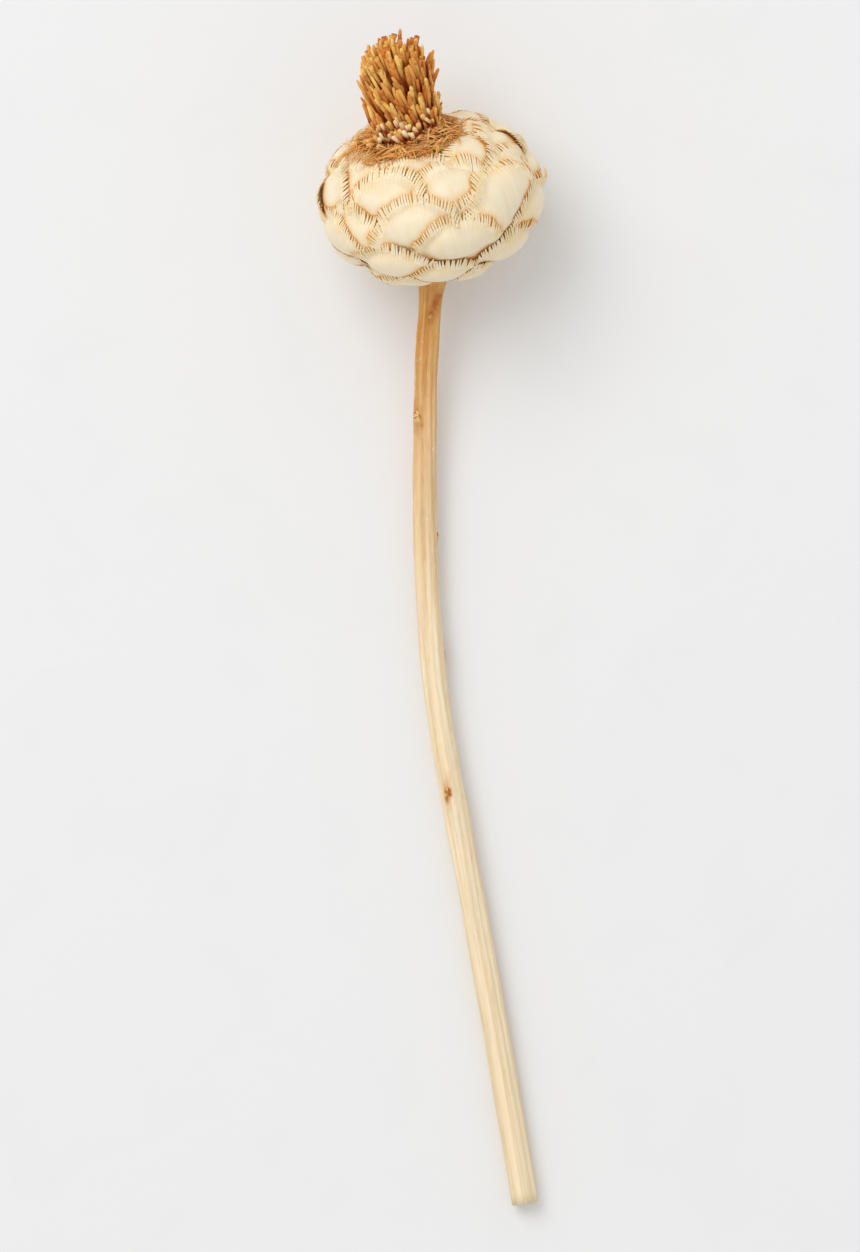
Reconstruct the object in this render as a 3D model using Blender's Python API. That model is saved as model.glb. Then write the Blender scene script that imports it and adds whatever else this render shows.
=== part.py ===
"""A dried artichoke flower: one bleached flower head on its cut stem, lying on a surface.

The head is a squat ball of overlapping papery bracts with combed edges. A brush of stiff golden
florets stands in its mouth, and a ribbed stem carries it. The flower lies along +Y, head first:
the ball rests on bracts pressed flat, the stem on its cut end, and the brush leans up from the
surface. Metres, +Z up. The head has a frame of its own, with its origin at the middle of the ball
and its local +Z through the mouth.
"""

import math
import random

import bmesh
import bpy
from mathutils import Matrix, Vector
from mathutils.bvhtree import BVHTree

MM = 0.001
GOLDEN_ANGLE = math.pi * (3 - math.sqrt(5))
FIT_GAP = 0.3 * MM
SLIVER = 0.005 * MM
SHARP_ANGLE = math.radians(40)
TABLE_HALF_SIZE = 0.5

# How the head lies
BALL_CENTRE = Vector((0.2, 87.1, 20.5)) * MM
HEAD_RISE = math.radians(25)
HEAD_LEAN = math.radians(7)

# The ball's core, a squat spheroid that the bracts grow from, with a seat for the stem at its foot
CORE_RADIUS = 21.2 * MM
CORE_HALF_HEIGHT = 15.2 * MM
NECK_SEAT_Z = -14.6 * MM
NECK_SHIFT = Vector((-1.5, 0, 0)) * MM

# The bracts, counted from the neck to the mouth: the angles are their distances from the foot
BRACT_COUNT = 45
FIRST_BRACT_TURN = math.radians(80)
LOWEST_BRACT = math.radians(22)
HIGHEST_BRACT = math.radians(143)
BRACT_HALF_WIDTH = 9.0 * MM
BRACT_HALF_LENGTH = 9.0 * MM
NECK_BRACT_SIZE = 0.7
MOUTH_BRACT_SIZE = 0.5
BRACT_TWIST = math.radians(8)
BRACT_UNEVEN = 0.06
BRACT_SEED = 5

# Bracts in front that strayed from the spiral: millimetres across, millimetres along, and their size
STRAYED_BRACTS = {
    9: (1.0, -0.5, 1.0),
    12: (-3.0, 2.3, 0.93),
    17: (1.0, 3.0, 1.0),
    20: (1.5, 3.0, 1.0),
    22: (-1.5, -3.0, 1.0),
    25: (7.0, -3.5, 1.0),
    30: (-0.5, 0.8, 0.83),
    33: (-4.3, -1.5, 1.12),
    35: (2.0, -3.0, 1.0),
    38: (1.0, -1.5, 1.0),
    40: (6.5, -0.5, 1.0),
    43: (4.0, -3.5, 1.0),
}

# How far a bract's outer face stands off the core, and how deep its body reaches into it
BRACT_ROOT = -1.0 * MM
BRACT_RISE = 0.4 * MM
BRACT_PUFF = 1.6 * MM
BRACT_STEP = 0.65 * MM
BRACT_DEPTH = -3.0 * MM

# A bract's mesh: rings of faces round its middle, and teeth on each side of its upper rim
BRACT_RINGS = (0.4, 0.74, 1.0)
BRACT_SIDES = 12
TEETH_PER_SIDE = 3
COARSE_TEETH = 2
COARSE_BRACTS = 14
TOOTH_REACH = 0.16
TOOTHED_FROM = -0.15

# The mouth of the ball and the core of the brush that stands in it, as radii at heights
MOUTH_SIDES = 20
MOUTH_SHIFT = Vector((-2.9, 0, 0)) * MM
MOUTH_FLOOR_Z = 8.0 * MM
MOUTH_RIM_Z = 14.2 * MM
MOUTH_FLARE = ((13.0 * MM, 18.6 * MM), (13.0 * MM, 40.0 * MM))
PLUG_RADIUS = 6.4 * MM
PLUG_TOP_Z = 12.4 * MM
BRUSH_CORE = ((5.6 * MM, 14.2 * MM), (5.5 * MM, 24.0 * MM), (4.0 * MM, 28.5 * MM), (0, 31.0 * MM))

# The florets spiral up the brush: their tips follow its side from foot to shoulder, then its top
BRUSH_LEAN = math.radians(3)
BRUSH_RADIUS = 7.5 * MM
FOOT_AND_SHOULDER = 0.94
BRUSH_FOOT_Z = 16.2 * MM
BRUSH_SHOULDER_Z = 30.0 * MM
BRUSH_TOP_Z = 34.6 * MM
SIDE_SHARE = 0.74
FOOT_CROWDING = 1.25
FLORET_COUNT = 150
FLORET_SIDES = 5
FLORET_ROOT_RADIUS = 0.5 * MM
FLORET_TIP_RADIUS = 0.76 * MM
FLORET_FLOOR_Z = 14.6 * MM
LONGEST_FLORET = 11.0 * MM
FLORET_GATHER = 0.62
FLORET_SWIRL = math.radians(34)
FLORET_STRAY = 0.1
FLORET_UNEVEN = 0.9 * MM
FLORET_SEED = 7

# The stem: points along its middle from the ball's centre in millimetres, each with its radius
STEM_LINE = (
    ((0.2, -17.0, -8.0), 2.3),
    ((-0.7, -27.0, -11.6), 2.4),
    ((-1.3, -40.0, -14.4), 2.4),
    ((-1.4, -62.0, -16.0), 2.5),
    ((-0.6, -84.0, -16.4), 2.5),
    ((1.2, -104.0, -16.5), 2.55),
    ((4.9, -124.0, -16.6), 2.6),
    ((9.8, -150.0, -16.9), 2.65),
    ((15.0, -180.0, -17.4), 2.7),
    ((19.4, -206.0, -17.95), 2.75),
)
NECK_RADIUS = 4.0 * MM
NECK_LENGTH = 2.0 * MM
NECK_TAPER = 0.85
NECK_ROOM = 0.6 * MM
STEM_RIBS = 11
RIB_DEPTH = 0.1
RINGS_PER_POINT = 3

# Scars of fallen leaves: the place among the line's points, the turn round from underneath, the size
LEAF_SCARS = ((2.66, 172, 0.7), (4.15, 226, 1.0), (6.5, 60, 1.1), (7.86, 205, 0.8))
SCAR_RADIUS = 1.7 * MM
SCAR_TIP_RADIUS = 0.5 * MM
SCAR_LENGTH = 5.0 * MM
SCAR_SPLAY = 0.2
SCAR_SINK = 0.75

# Colours and roughness of the three nodes
BRACT_LOOK = ("bleached_bract", (0.86, 0.78, 0.6), 0.55)
FLORET_LOOK = ("golden_floret", (0.72, 0.45, 0.16), 0.6)
STEM_LOOK = ("bleached_stem", (0.84, 0.74, 0.56), 0.7)


def clear_scene():
    for item in list(bpy.data.objects):
        bpy.data.objects.remove(item)


def new_collection(name):
    collection = bpy.data.collections.new(name)
    bpy.context.scene.collection.children.link(collection)
    return collection


def object_from(bm, name, collection, parent=None):
    """Turns a bmesh into an object of this collection, with its faces pointing outwards."""
    bmesh.ops.recalc_face_normals(bm, faces=bm.faces)
    if bm.calc_volume(signed=True) < 0:
        bmesh.ops.reverse_faces(bm, faces=bm.faces)
    mesh = bpy.data.meshes.new(name)
    bm.to_mesh(mesh)
    bm.free()
    made = bpy.data.objects.new(name, mesh)
    collection.objects.link(made)
    made.parent = parent
    return made


def cutter_from(bm, name, cutters, parent=None):
    made = object_from(bm, name, cutters, parent)
    made.hide_render = True
    made.display_type = "WIRE"
    return made


def apply_modifiers(target):
    """Keeps the shape that the modifiers make as the object's own mesh."""
    graph = bpy.context.evaluated_depsgraph_get()
    shaped = bpy.data.meshes.new_from_object(target.evaluated_get(graph))
    target.modifiers.clear()
    target.data = shaped


def fuse(target, pieces):
    """Joins every object of the collection to the target as one body, and removes them."""
    join = target.modifiers.new("fuse", "BOOLEAN")
    join.operation = "UNION"
    join.operand_type = "COLLECTION"
    join.solver = "MANIFOLD"
    join.collection = pieces
    apply_modifiers(target)
    for piece in list(pieces.objects):
        bpy.data.objects.remove(piece)
    bpy.data.collections.remove(pieces)


def carve(target, cutter):
    """Takes the cutter's shape out of the target."""
    cut = target.modifiers.new("carve " + cutter.name, "BOOLEAN")
    cut.operation = "DIFFERENCE"
    cut.solver = "MANIFOLD"
    cut.object = cutter
    apply_modifiers(target)


def shell_from(start):
    """Every face that can be reached from this one across shared edges."""
    shell = {start}
    ahead = [start]
    while ahead:
        face = ahead.pop()
        beside = {other for edge in face.edges for other in edge.link_faces} - shell
        shell |= beside
        ahead.extend(beside)
    return shell


def keep_outer_shell(target):
    """Fills hollows sealed by the joins and drops loose scraps: only the largest shell stays."""
    bm = bmesh.new()
    bm.from_mesh(target.data)
    bmesh.ops.remove_doubles(bm, verts=bm.verts, dist=SLIVER)
    waiting = set(bm.faces)
    shells = []
    while waiting:
        shell = shell_from(next(iter(waiting)))
        waiting -= shell
        shells.append(shell)
    shells.sort(key=len)
    extra = [face for shell in shells[:-1] for face in shell]
    bmesh.ops.delete(bm, geom=extra, context="FACES")
    bm.to_mesh(target.data)
    bm.free()


def finish(target, look):
    """Gives a node its material and smooth shading with crisp edges."""
    name, colour, roughness = look
    made = bpy.data.materials.new(name)
    made.use_nodes = True
    shader = made.node_tree.nodes["Principled BSDF"]
    shader.inputs["Base Color"].default_value = (*colour, 1)
    shader.inputs["Roughness"].default_value = roughness
    shader.inputs["Metallic"].default_value = 0
    keep_outer_shell(target)
    target.data.materials.clear()
    target.data.materials.append(made)
    target.data.shade_smooth()
    target.data.set_sharp_from_angle(angle=SHARP_ANGLE)


def turned(profile, sides):
    """A solid of revolution round Z, through these (radius, height) points and closed to the axis."""
    bm = bmesh.new()
    points = [(0, profile[0][1]), *profile]
    if profile[-1][0] > 0:
        points.append((0, profile[-1][1]))
    line = [bm.verts.new((radius, 0, height)) for radius, height in points]
    edges = [bm.edges.new(pair) for pair in zip(line, line[1:])]
    bmesh.ops.spin(
        bm,
        geom=line + edges,
        cent=(0, 0, 0),
        axis=(0, 0, 1),
        angle=2 * math.pi,
        steps=sides,
        use_merge=True,
    )
    bmesh.ops.remove_doubles(bm, verts=bm.verts, dist=SLIVER)
    return bm


def table_cutter(cutters):
    """A block whose top is the surface that the flower lies on."""
    bm = bmesh.new()
    bmesh.ops.create_cube(bm, size=2 * TABLE_HALF_SIZE)
    bmesh.ops.translate(bm, verts=bm.verts, vec=(0, 0, -TABLE_HALF_SIZE))
    return cutter_from(bm, "table", cutters)


def head_matrix():
    """Stands the head's local +Z along the flower, raised from the surface and leaned to the left."""
    turn = Matrix.Rotation(HEAD_LEAN, 4, "Z") @ Matrix.Rotation(HEAD_RISE - math.pi / 2, 4, "X")
    return Matrix.Translation(BALL_CENTRE) @ turn


def brush_place():
    """Sets the brush a little off the ball's middle, leaning towards local -X from the mouth's floor."""
    base = Vector((0, 0, MOUTH_FLOOR_Z))
    turn = Matrix.Rotation(-BRUSH_LEAN, 4, "Y")
    return Matrix.Translation(MOUTH_SHIFT + base) @ turn @ Matrix.Translation(-base)


def smooth_step(low, high, value):
    share = min(1, max(0, (value - low) / (high - low)))
    return share * share * (3 - 2 * share)


def core_point(direction):
    """The core's surface straight out along this direction, and its outward normal there."""
    scaled = Vector((direction.x / CORE_RADIUS, direction.y / CORE_RADIUS, direction.z / CORE_HALF_HEIGHT))
    point = direction / scaled.length
    normal = Vector((point.x / CORE_RADIUS**2, point.y / CORE_RADIUS**2, point.z / CORE_HALF_HEIGHT**2))
    return point, normal.normalized()


def ball_core(collection, parent):
    """The spheroid, with a flat seat for the stem at its foot."""
    bm = bmesh.new()
    bmesh.ops.create_uvsphere(bm, u_segments=24, v_segments=14, radius=1)
    bmesh.ops.scale(bm, verts=bm.verts, vec=(CORE_RADIUS, CORE_RADIUS, CORE_HALF_HEIGHT))
    everything = bm.verts[:] + bm.edges[:] + bm.faces[:]
    foot = bmesh.ops.bisect_plane(
        bm, geom=everything, plane_co=(0, 0, NECK_SEAT_Z), plane_no=(0, 0, -1), clear_outer=True
    )
    rim = [item for item in foot["geom_cut"] if isinstance(item, bmesh.types.BMEdge)]
    bmesh.ops.edgeloop_fill(bm, edges=rim)
    return object_from(bm, "bract_ball", collection, parent)


def flat_bract(teeth_per_side):
    """A bract as a flat disc of radius 1, two faces thick, with teeth round its upper edge.

    The tip is towards +Y. The outer face is at z 1, the inner one at z 0.
    """
    bm = bmesh.new()
    bmesh.ops.create_circle(bm, cap_ends=True, segments=BRACT_SIDES, radius=BRACT_RINGS[0])
    bmesh.ops.poke(bm, faces=bm.faces[:])
    rim = [edge for edge in bm.edges if edge.is_boundary]
    for ring, radius in zip(BRACT_RINGS, BRACT_RINGS[1:]):
        grown = bmesh.ops.extrude_edge_only(bm, edges=rim)["geom"]
        outer = [item for item in grown if isinstance(item, bmesh.types.BMVert)]
        bmesh.ops.scale(bm, verts=outer, vec=(radius / ring, radius / ring, 1))
        rim = [edge for edge in bm.edges if edge.is_boundary]
    upper = [edge for edge in rim if (edge.verts[0].co + edge.verts[1].co).y / 2 > TOOTHED_FROM]
    cut = bmesh.ops.subdivide_edges(bm, edges=upper, cuts=2 * teeth_per_side - 1)
    toothed = [item for item in cut["geom_inner"] if isinstance(item, bmesh.types.BMVert)]
    pitch = math.pi / (BRACT_SIDES * teeth_per_side)
    for vertex in toothed:
        turn = math.atan2(vertex.co.y, vertex.co.x)
        reach = 1 + TOOTH_REACH * (round(turn / pitch) % 2)
        vertex.co = Vector((math.cos(turn), math.sin(turn), 0)) * reach
    raised = bmesh.ops.extrude_face_region(bm, geom=bm.faces[:])["geom"]
    top = [item for item in raised if isinstance(item, bmesh.types.BMVert)]
    bmesh.ops.translate(bm, verts=top, vec=(0, 0, 1))
    return bm


def bract_height(x, y):
    """How far a bract's outer face stands off the core: sunk at its root, puffed where it shows."""
    ramp = BRACT_ROOT + (BRACT_RISE - BRACT_ROOT) * smooth_step(-1, 0.6, y)
    return ramp + BRACT_PUFF * max(0, 1 - (x / 0.8) ** 2 - ((y - 0.42) / 0.55) ** 2)


def bract_spot(index):
    """A bract's centre on the core and the normal there: on the spiral, or strayed a little from it."""
    share = (index + 0.5) / BRACT_COUNT
    height = math.cos(LOWEST_BRACT) + share * (math.cos(HIGHEST_BRACT) - math.cos(LOWEST_BRACT))
    girth = math.sqrt(1 - height**2)
    turn = FIRST_BRACT_TURN + index * GOLDEN_ANGLE
    outwards = Vector((math.cos(turn), math.sin(turn), 0))
    sideways = Vector((-math.sin(turn), math.cos(turn), 0))
    spot, normal = core_point(
        outwards * CORE_RADIUS * girth + Vector((0, 0, -CORE_HALF_HEIGHT * height))
    )
    across, along, _ = STRAYED_BRACTS.get(index, (0, 0, 1))
    return core_point(spot + sideways * across * MM + normal.cross(sideways) * along * MM)


def bract_place(index):
    """A bract's centre on the core, and its half axes across and along."""
    centre, normal = bract_spot(index)
    girth = centre.xy.length / CORE_RADIUS
    smallest = MOUTH_BRACT_SIZE if centre.z > 0 else NECK_BRACT_SIZE
    size = smallest + (1 - smallest) * smooth_step(0.4, 0.95, girth)
    size *= STRAYED_BRACTS.get(index, (0, 0, 1))[2]
    draw = random.Random(BRACT_SEED + index)
    twist = Matrix.Rotation(draw.uniform(-BRACT_TWIST, BRACT_TWIST), 3, normal)
    size *= draw.uniform(1 - BRACT_UNEVEN, 1 + BRACT_UNEVEN)
    sideways = twist @ Vector((-centre.y, centre.x, 0)).normalized()
    return centre, sideways * BRACT_HALF_WIDTH * size, normal.cross(sideways) * BRACT_HALF_LENGTH * size


def lay_bract(index, laid, collection, parent):
    """Wraps the flat bract round the core, over those already laid inside it.

    laid holds the points and faces of the bracts laid so far.
    """
    centre, across, along = bract_place(index)
    tree = BVHTree.FromPolygons(*laid) if laid[1] else None
    bm = flat_bract(TEETH_PER_SIDE if index >= COARSE_BRACTS else COARSE_TEETH)
    outer = {}
    for vertex in bm.verts:
        x, y, outside = vertex.co
        point, normal = core_point(centre + across * x + along * y)
        if outside < 0.5:
            vertex.co = point + normal * BRACT_DEPTH
            continue
        height = bract_height(x, y)
        far = point + normal * CORE_RADIUS
        hit = tree.ray_cast(far, -normal, CORE_RADIUS)[0] if tree else None
        if hit:
            height = max(height, (hit - point).dot(normal) + BRACT_STEP)
        vertex.co = point + normal * height
        outer[vertex] = len(laid[0]) + len(outer)
    laid[0].extend(vertex.co.copy() for vertex in outer)
    laid[1].extend(
        [outer[vertex] for vertex in face.verts]
        for face in bm.faces
        if all(vertex in outer for vertex in face.verts)
    )
    object_from(bm, f"bract_{index:02d}", collection, parent)


def bract_ball(collection, cutters, head):
    """The ball: bracts laid from the mouth down, each over those inside it.

    It is hollowed for the brush and the stem's neck, and pressed flat where it lies.
    """
    bracts = new_collection("bracts")
    laid = ([], [])
    for index in reversed(range(BRACT_COUNT)):
        lay_bract(index, laid, bracts, head)
    ball = ball_core(collection, head)
    fuse(ball, bracts)
    hole = PLUG_RADIUS + FIT_GAP
    mouth = turned(((hole, MOUTH_FLOOR_Z), (hole, MOUTH_RIM_Z), *MOUTH_FLARE), MOUTH_SIDES)
    bmesh.ops.transform(mouth, matrix=brush_place(), verts=mouth.verts)
    clear = NECK_RADIUS + NECK_ROOM
    neck = turned(((clear, -2 * CORE_HALF_HEIGHT), (clear, NECK_SEAT_Z)), MOUTH_SIDES)
    bmesh.ops.translate(neck, verts=neck.verts, vec=NECK_SHIFT)
    carve(ball, cutter_from(mouth, "mouth", cutters, head))
    carve(ball, cutter_from(neck, "neck", cutters, head))
    carve(ball, table_cutter(cutters))
    finish(ball, BRACT_LOOK)


def floret(index, draw):
    """One floret: a blunt rod, wider at its tip. Low ones point outwards, higher ones along the brush."""
    share = (index + 0.5) / FLORET_COUNT
    turn = index * GOLDEN_ANGLE + draw.uniform(-FLORET_STRAY, FLORET_STRAY)
    if share < SIDE_SHARE:
        rise = share / SIDE_SHARE
        radius = BRUSH_RADIUS * (FOOT_AND_SHOULDER + (1 - FOOT_AND_SHOULDER) * math.sin(math.pi * rise))
        height = BRUSH_FOOT_Z + (BRUSH_SHOULDER_Z - BRUSH_FOOT_Z) * rise**FOOT_CROWDING
    else:
        inwards = (share - SIDE_SHARE) / (1 - SIDE_SHARE)
        radius = BRUSH_RADIUS * FOOT_AND_SHOULDER * math.sqrt(1 - inwards)
        height = BRUSH_SHOULDER_Z + (BRUSH_TOP_Z - BRUSH_SHOULDER_Z) * math.sqrt(inwards)
    height += draw.uniform(-FLORET_UNEVEN, FLORET_UNEVEN)
    root_height = max(FLORET_FLOOR_Z, height - LONGEST_FLORET)
    root_turn = turn + FLORET_SWIRL * (height - root_height) / LONGEST_FLORET
    root_radius = FLORET_GATHER * radius
    root = Vector((math.cos(root_turn) * root_radius, math.sin(root_turn) * root_radius, root_height))
    tip = Vector((math.cos(turn) * radius, math.sin(turn) * radius, height))
    bm = bmesh.new()
    bmesh.ops.create_cone(
        bm,
        cap_ends=True,
        segments=FLORET_SIDES,
        radius1=FLORET_ROOT_RADIUS,
        radius2=FLORET_TIP_RADIUS,
        depth=(tip - root).length,
    )
    upright = (tip - root).to_track_quat("Z", "X").to_matrix().to_4x4()
    bmesh.ops.transform(bm, verts=bm.verts, matrix=Matrix.Translation((root + tip) / 2) @ upright)
    return bm


def floret_brush(collection, head):
    """The brush: florets standing out of a slim core that rests in the ball's mouth."""
    draw = random.Random(FLORET_SEED)
    place = brush_place()
    bm = turned(
        ((PLUG_RADIUS, MOUTH_FLOOR_Z + FIT_GAP), (PLUG_RADIUS, PLUG_TOP_Z), *BRUSH_CORE), MOUTH_SIDES
    )
    bmesh.ops.transform(bm, verts=bm.verts, matrix=place)
    brush = object_from(bm, "floret_brush", collection, head)
    florets = new_collection("florets")
    for index in range(FLORET_COUNT):
        bm = floret(index, draw)
        bmesh.ops.transform(bm, verts=bm.verts, matrix=place)
        object_from(bm, f"floret_{index:03d}", florets, head)
    fuse(brush, florets)
    finish(brush, FLORET_LOOK)


def stem_line():
    """Points along the stem's middle, from the neck to the cut end, each with its radius."""
    neck = head_matrix() @ (NECK_SHIFT + Vector((0, 0, NECK_SEAT_Z - FIT_GAP)))
    down = head_matrix().to_3x3() @ Vector((0, 0, -1))
    line = [(neck, NECK_RADIUS), (neck + down * NECK_LENGTH, NECK_TAPER * NECK_RADIUS)]
    line += [(BALL_CENTRE + Vector(offset) * MM, radius * MM) for offset, radius in STEM_LINE]
    return line


def fluted_section(cutters):
    """The stem's cross-section, of radius 1, as a guide curve."""
    section = bpy.data.curves.new("stem_section", "CURVE")
    section.dimensions = "2D"
    flute = section.splines.new("POLY")
    flute.points.add(2 * STEM_RIBS - 1)
    for index, point in enumerate(flute.points):
        turn = index * math.pi / STEM_RIBS
        radius = 1 - RIB_DEPTH * (index % 2)
        point.co = (radius * math.cos(turn), radius * math.sin(turn), 0, 1)
    flute.use_cyclic_u = True
    guide = bpy.data.objects.new("stem_section", section)
    cutters.objects.link(guide)
    guide.hide_render = True
    return guide


def leaf_scar(line, at, turn, size, collection):
    """A low stub on the stem that points to the head, where a leaf grew."""
    (before, wide), (after, slim) = line[int(at)], line[int(at) + 1]
    middle = before.lerp(after, at % 1)
    radius = wide + (slim - wide) * (at % 1)
    along = (before - after).normalized()
    side = Matrix.Rotation(-math.radians(turn), 3, along) @ Vector((0, 0, -1))
    bm = bmesh.new()
    bmesh.ops.create_cone(
        bm, cap_ends=True, segments=6, radius1=SCAR_RADIUS, radius2=SCAR_TIP_RADIUS, depth=SCAR_LENGTH
    )
    bmesh.ops.scale(bm, verts=bm.verts, vec=(size, size, size))
    aim = (along + SCAR_SPLAY * side).to_track_quat("Z", "X").to_matrix().to_4x4()
    place = Matrix.Translation(middle + side * radius * SCAR_SINK) @ aim
    bmesh.ops.transform(bm, verts=bm.verts, matrix=place)
    object_from(bm, f"scar_{turn}", collection)


def stem(collection, cutters):
    """The ribbed stalk: a fluted section drawn along the stem's line, with scars where leaves grew."""
    line = stem_line()
    path = bpy.data.curves.new("stem", "CURVE")
    path.dimensions = "3D"
    path.bevel_mode = "OBJECT"
    path.bevel_object = fluted_section(cutters)
    path.use_fill_caps = True
    spline = path.splines.new("NURBS")
    spline.points.add(len(line) - 1)
    for point, (place, radius) in zip(spline.points, line):
        point.co = (*place, 1)
        point.radius = radius
    spline.use_endpoint_u = True
    spline.order_u = 4
    spline.resolution_u = RINGS_PER_POINT
    curve = bpy.data.objects.new("stem_curve", path)
    collection.objects.link(curve)
    graph = bpy.context.evaluated_depsgraph_get()
    bm = bmesh.new()
    bm.from_mesh(bpy.data.meshes.new_from_object(curve.evaluated_get(graph)))
    bmesh.ops.remove_doubles(bm, verts=bm.verts, dist=SLIVER)
    bpy.data.objects.remove(curve)
    stalk = object_from(bm, "stem", collection)
    scars = new_collection("scars")
    for scar in LEAF_SCARS:
        leaf_scar(line, *scar, scars)
    fuse(stalk, scars)
    carve(stalk, table_cutter(cutters))
    finish(stalk, STEM_LOOK)


def main():
    clear_scene()
    flower = new_collection("dried_artichoke_flower")
    cutters = new_collection("cutters")
    head = bpy.data.objects.new("head_frame", None)
    flower.objects.link(head)
    head.matrix_world = head_matrix()
    bpy.context.view_layer.update()
    bract_ball(flower, cutters, head)
    floret_brush(flower, head)
    stem(flower, cutters)


main()
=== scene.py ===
# %% [markdown]
# # A dried artichoke flower
#
# The real object is one bleached, dried flower, cut with its stem and laid down. Papery bracts,
# combed along their upper edges, make a squat ball. A brush of stiff golden florets stands in its
# mouth, and a ribbed stem carries it.
#
# The CAD model has the true sizes and places. This lesson keeps them, and swaps its three solids
# for finer pieces that follow the same rules: thin bracts, fine teeth, slim florets and fibres.

# %% Load the CAD model as a fixed frame
import math
import random

import bmesh
import bpy
from mathutils import Matrix, Vector, noise
from mathutils.bvhtree import BVHTree
from mathutils.kdtree import KDTree


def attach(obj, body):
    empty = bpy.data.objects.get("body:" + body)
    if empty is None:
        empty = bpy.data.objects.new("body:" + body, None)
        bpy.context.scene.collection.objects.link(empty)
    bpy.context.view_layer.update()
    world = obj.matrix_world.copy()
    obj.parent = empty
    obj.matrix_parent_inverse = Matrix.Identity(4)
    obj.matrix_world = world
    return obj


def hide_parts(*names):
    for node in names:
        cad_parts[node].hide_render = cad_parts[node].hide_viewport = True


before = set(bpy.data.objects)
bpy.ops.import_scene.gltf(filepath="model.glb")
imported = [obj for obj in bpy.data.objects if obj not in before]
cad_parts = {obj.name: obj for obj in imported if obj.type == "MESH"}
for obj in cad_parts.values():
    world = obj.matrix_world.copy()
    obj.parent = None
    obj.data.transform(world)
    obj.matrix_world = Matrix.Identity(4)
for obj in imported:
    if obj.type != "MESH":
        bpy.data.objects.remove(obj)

MM = 0.001
GOLDEN_ANGLE = math.pi * (3 - math.sqrt(5))
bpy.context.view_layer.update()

# %% [markdown]
# ## The head's own frame
#
# Bracts and florets grow in spirals round one axis. They could be placed one by one in the lying
# flower, but the rule is far simpler in a frame of the head's own, with its origin in the middle of
# the ball and +Z through the mouth. One matrix then lays the head down: its axis rises a little
# from the surface and leans to the left.

# %% Lay the head's frame down
BALL_CENTRE = Vector((0.2, 87.1, 20.5)) * MM
HEAD_RISE = math.radians(25)
HEAD_LEAN = math.radians(7)
HEAD = (
    Matrix.Translation(BALL_CENTRE)
    @ Matrix.Rotation(HEAD_LEAN, 4, "Z")
    @ Matrix.Rotation(HEAD_RISE - math.pi / 2, 4, "X")
)
print("the head's axis points to", [round(part, 2) for part in HEAD.col[2][:3]])

# %% Stand the brush's frame in the mouth, a little off the ball's middle
MOUTH_SHIFT = Vector((-2.9, 0, 0)) * MM
MOUTH_FLOOR = Vector((0, 0, 8)) * MM
BRUSH_LEAN = math.radians(3)
BRUSH = (
    Matrix.Translation(MOUTH_SHIFT + MOUTH_FLOOR)
    @ Matrix.Rotation(-BRUSH_LEAN, 4, "Y")
    @ Matrix.Translation(-MOUTH_FLOOR)
)

# %% Small helpers that most of the pieces use
def smooth_step(low, high, value):
    """0 below low, 1 above high, and a smooth rise between them."""
    share = min(1, max(0, (value - low) / (high - low)))
    return share * share * (3 - 2 * share)


def facing(turn):
    """The unit vector that points straight away from the axis at this turn about it."""
    return Vector((math.cos(turn), math.sin(turn), 0))


def add_copy(whole, part):
    """Adds a copy of one bmesh to another, with its UV map and attributes."""
    carrier = bpy.data.meshes.new("carrier")
    part.to_mesh(carrier)
    whole.from_mesh(carrier)
    bpy.data.meshes.remove(carrier)


def set_value(bm, name, value):
    """Gives every vertex the same value in a named attribute, for a material to read."""
    layer = bm.verts.layers.float.get(name) or bm.verts.layers.float.new(name)
    for vertex in bm.verts:
        vertex[layer] = value


def object_from(bm, name, look):
    """Turns a bmesh into an object at the origin, with its material, and frees the bmesh."""
    mesh = bpy.data.meshes.new(name)
    bm.to_mesh(mesh)
    bm.free()
    mesh.materials.append(look)
    made = bpy.data.objects.new(name, mesh)
    bpy.context.scene.collection.objects.link(made)
    return made


def piece_from(bm, name, look, nodes=()):
    """Turns a bmesh into a finished piece, which rides on the flower's one body."""
    made = object_from(bm, name, look)
    made.data.shade_smooth()
    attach(made, "root")
    if nodes:
        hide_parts(*nodes)
    made.data.calc_loop_triangles()
    print(name, "has", len(made.data.loop_triangles), "triangles")
    return made


# %% [markdown]
# ## Effects that several materials share
#
# Everything on this flower is dry plant fibre, so two effects come back from piece to piece: fine
# fibres that run along it, and soft stains, as uneven bleaching leaves them. They could be drawn
# anew in each material. Instead each is built once, as a node group with named inputs and outputs,
# and every material sets its own values. The fibres read a UV map, so that they follow a bent
# piece. The stains read Object coordinates and cross the fibres.

# %% Helpers for shader nodes
def colour(red, green, blue):
    """A colour given as on a screen, from 0 to 255, in the linear values that shaders use."""
    shares = [part / 255 for part in (red, green, blue)]
    linear = [s / 12.92 if s <= 0.04045 else ((s + 0.055) / 1.055) ** 2.4 for s in shares]
    return (*linear, 1)


def feed(tree, socket, source):
    """Sets a socket to a value, or links it to another node's output."""
    if isinstance(source, bpy.types.NodeSocket):
        tree.links.new(source, socket)
    else:
        socket.default_value = source


def mixed(tree, factor, first, second, blend="MIX"):
    """The output of a colour mix."""
    node = tree.nodes.new("ShaderNodeMix")
    node.data_type = "RGBA"
    node.blend_type = blend
    feed(tree, node.inputs["Factor"], factor)
    feed(tree, node.inputs[6], first)
    feed(tree, node.inputs[7], second)
    return node.outputs[2]


def reckoned(tree, operation, first, second, clamp=True):
    """The output of a step of arithmetic, kept between 0 and 1 unless clamp is False."""
    node = tree.nodes.new("ShaderNodeMath")
    node.operation = operation
    node.use_clamp = clamp
    feed(tree, node.inputs[0], first)
    feed(tree, node.inputs[1], second)
    return node.outputs[0]


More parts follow.
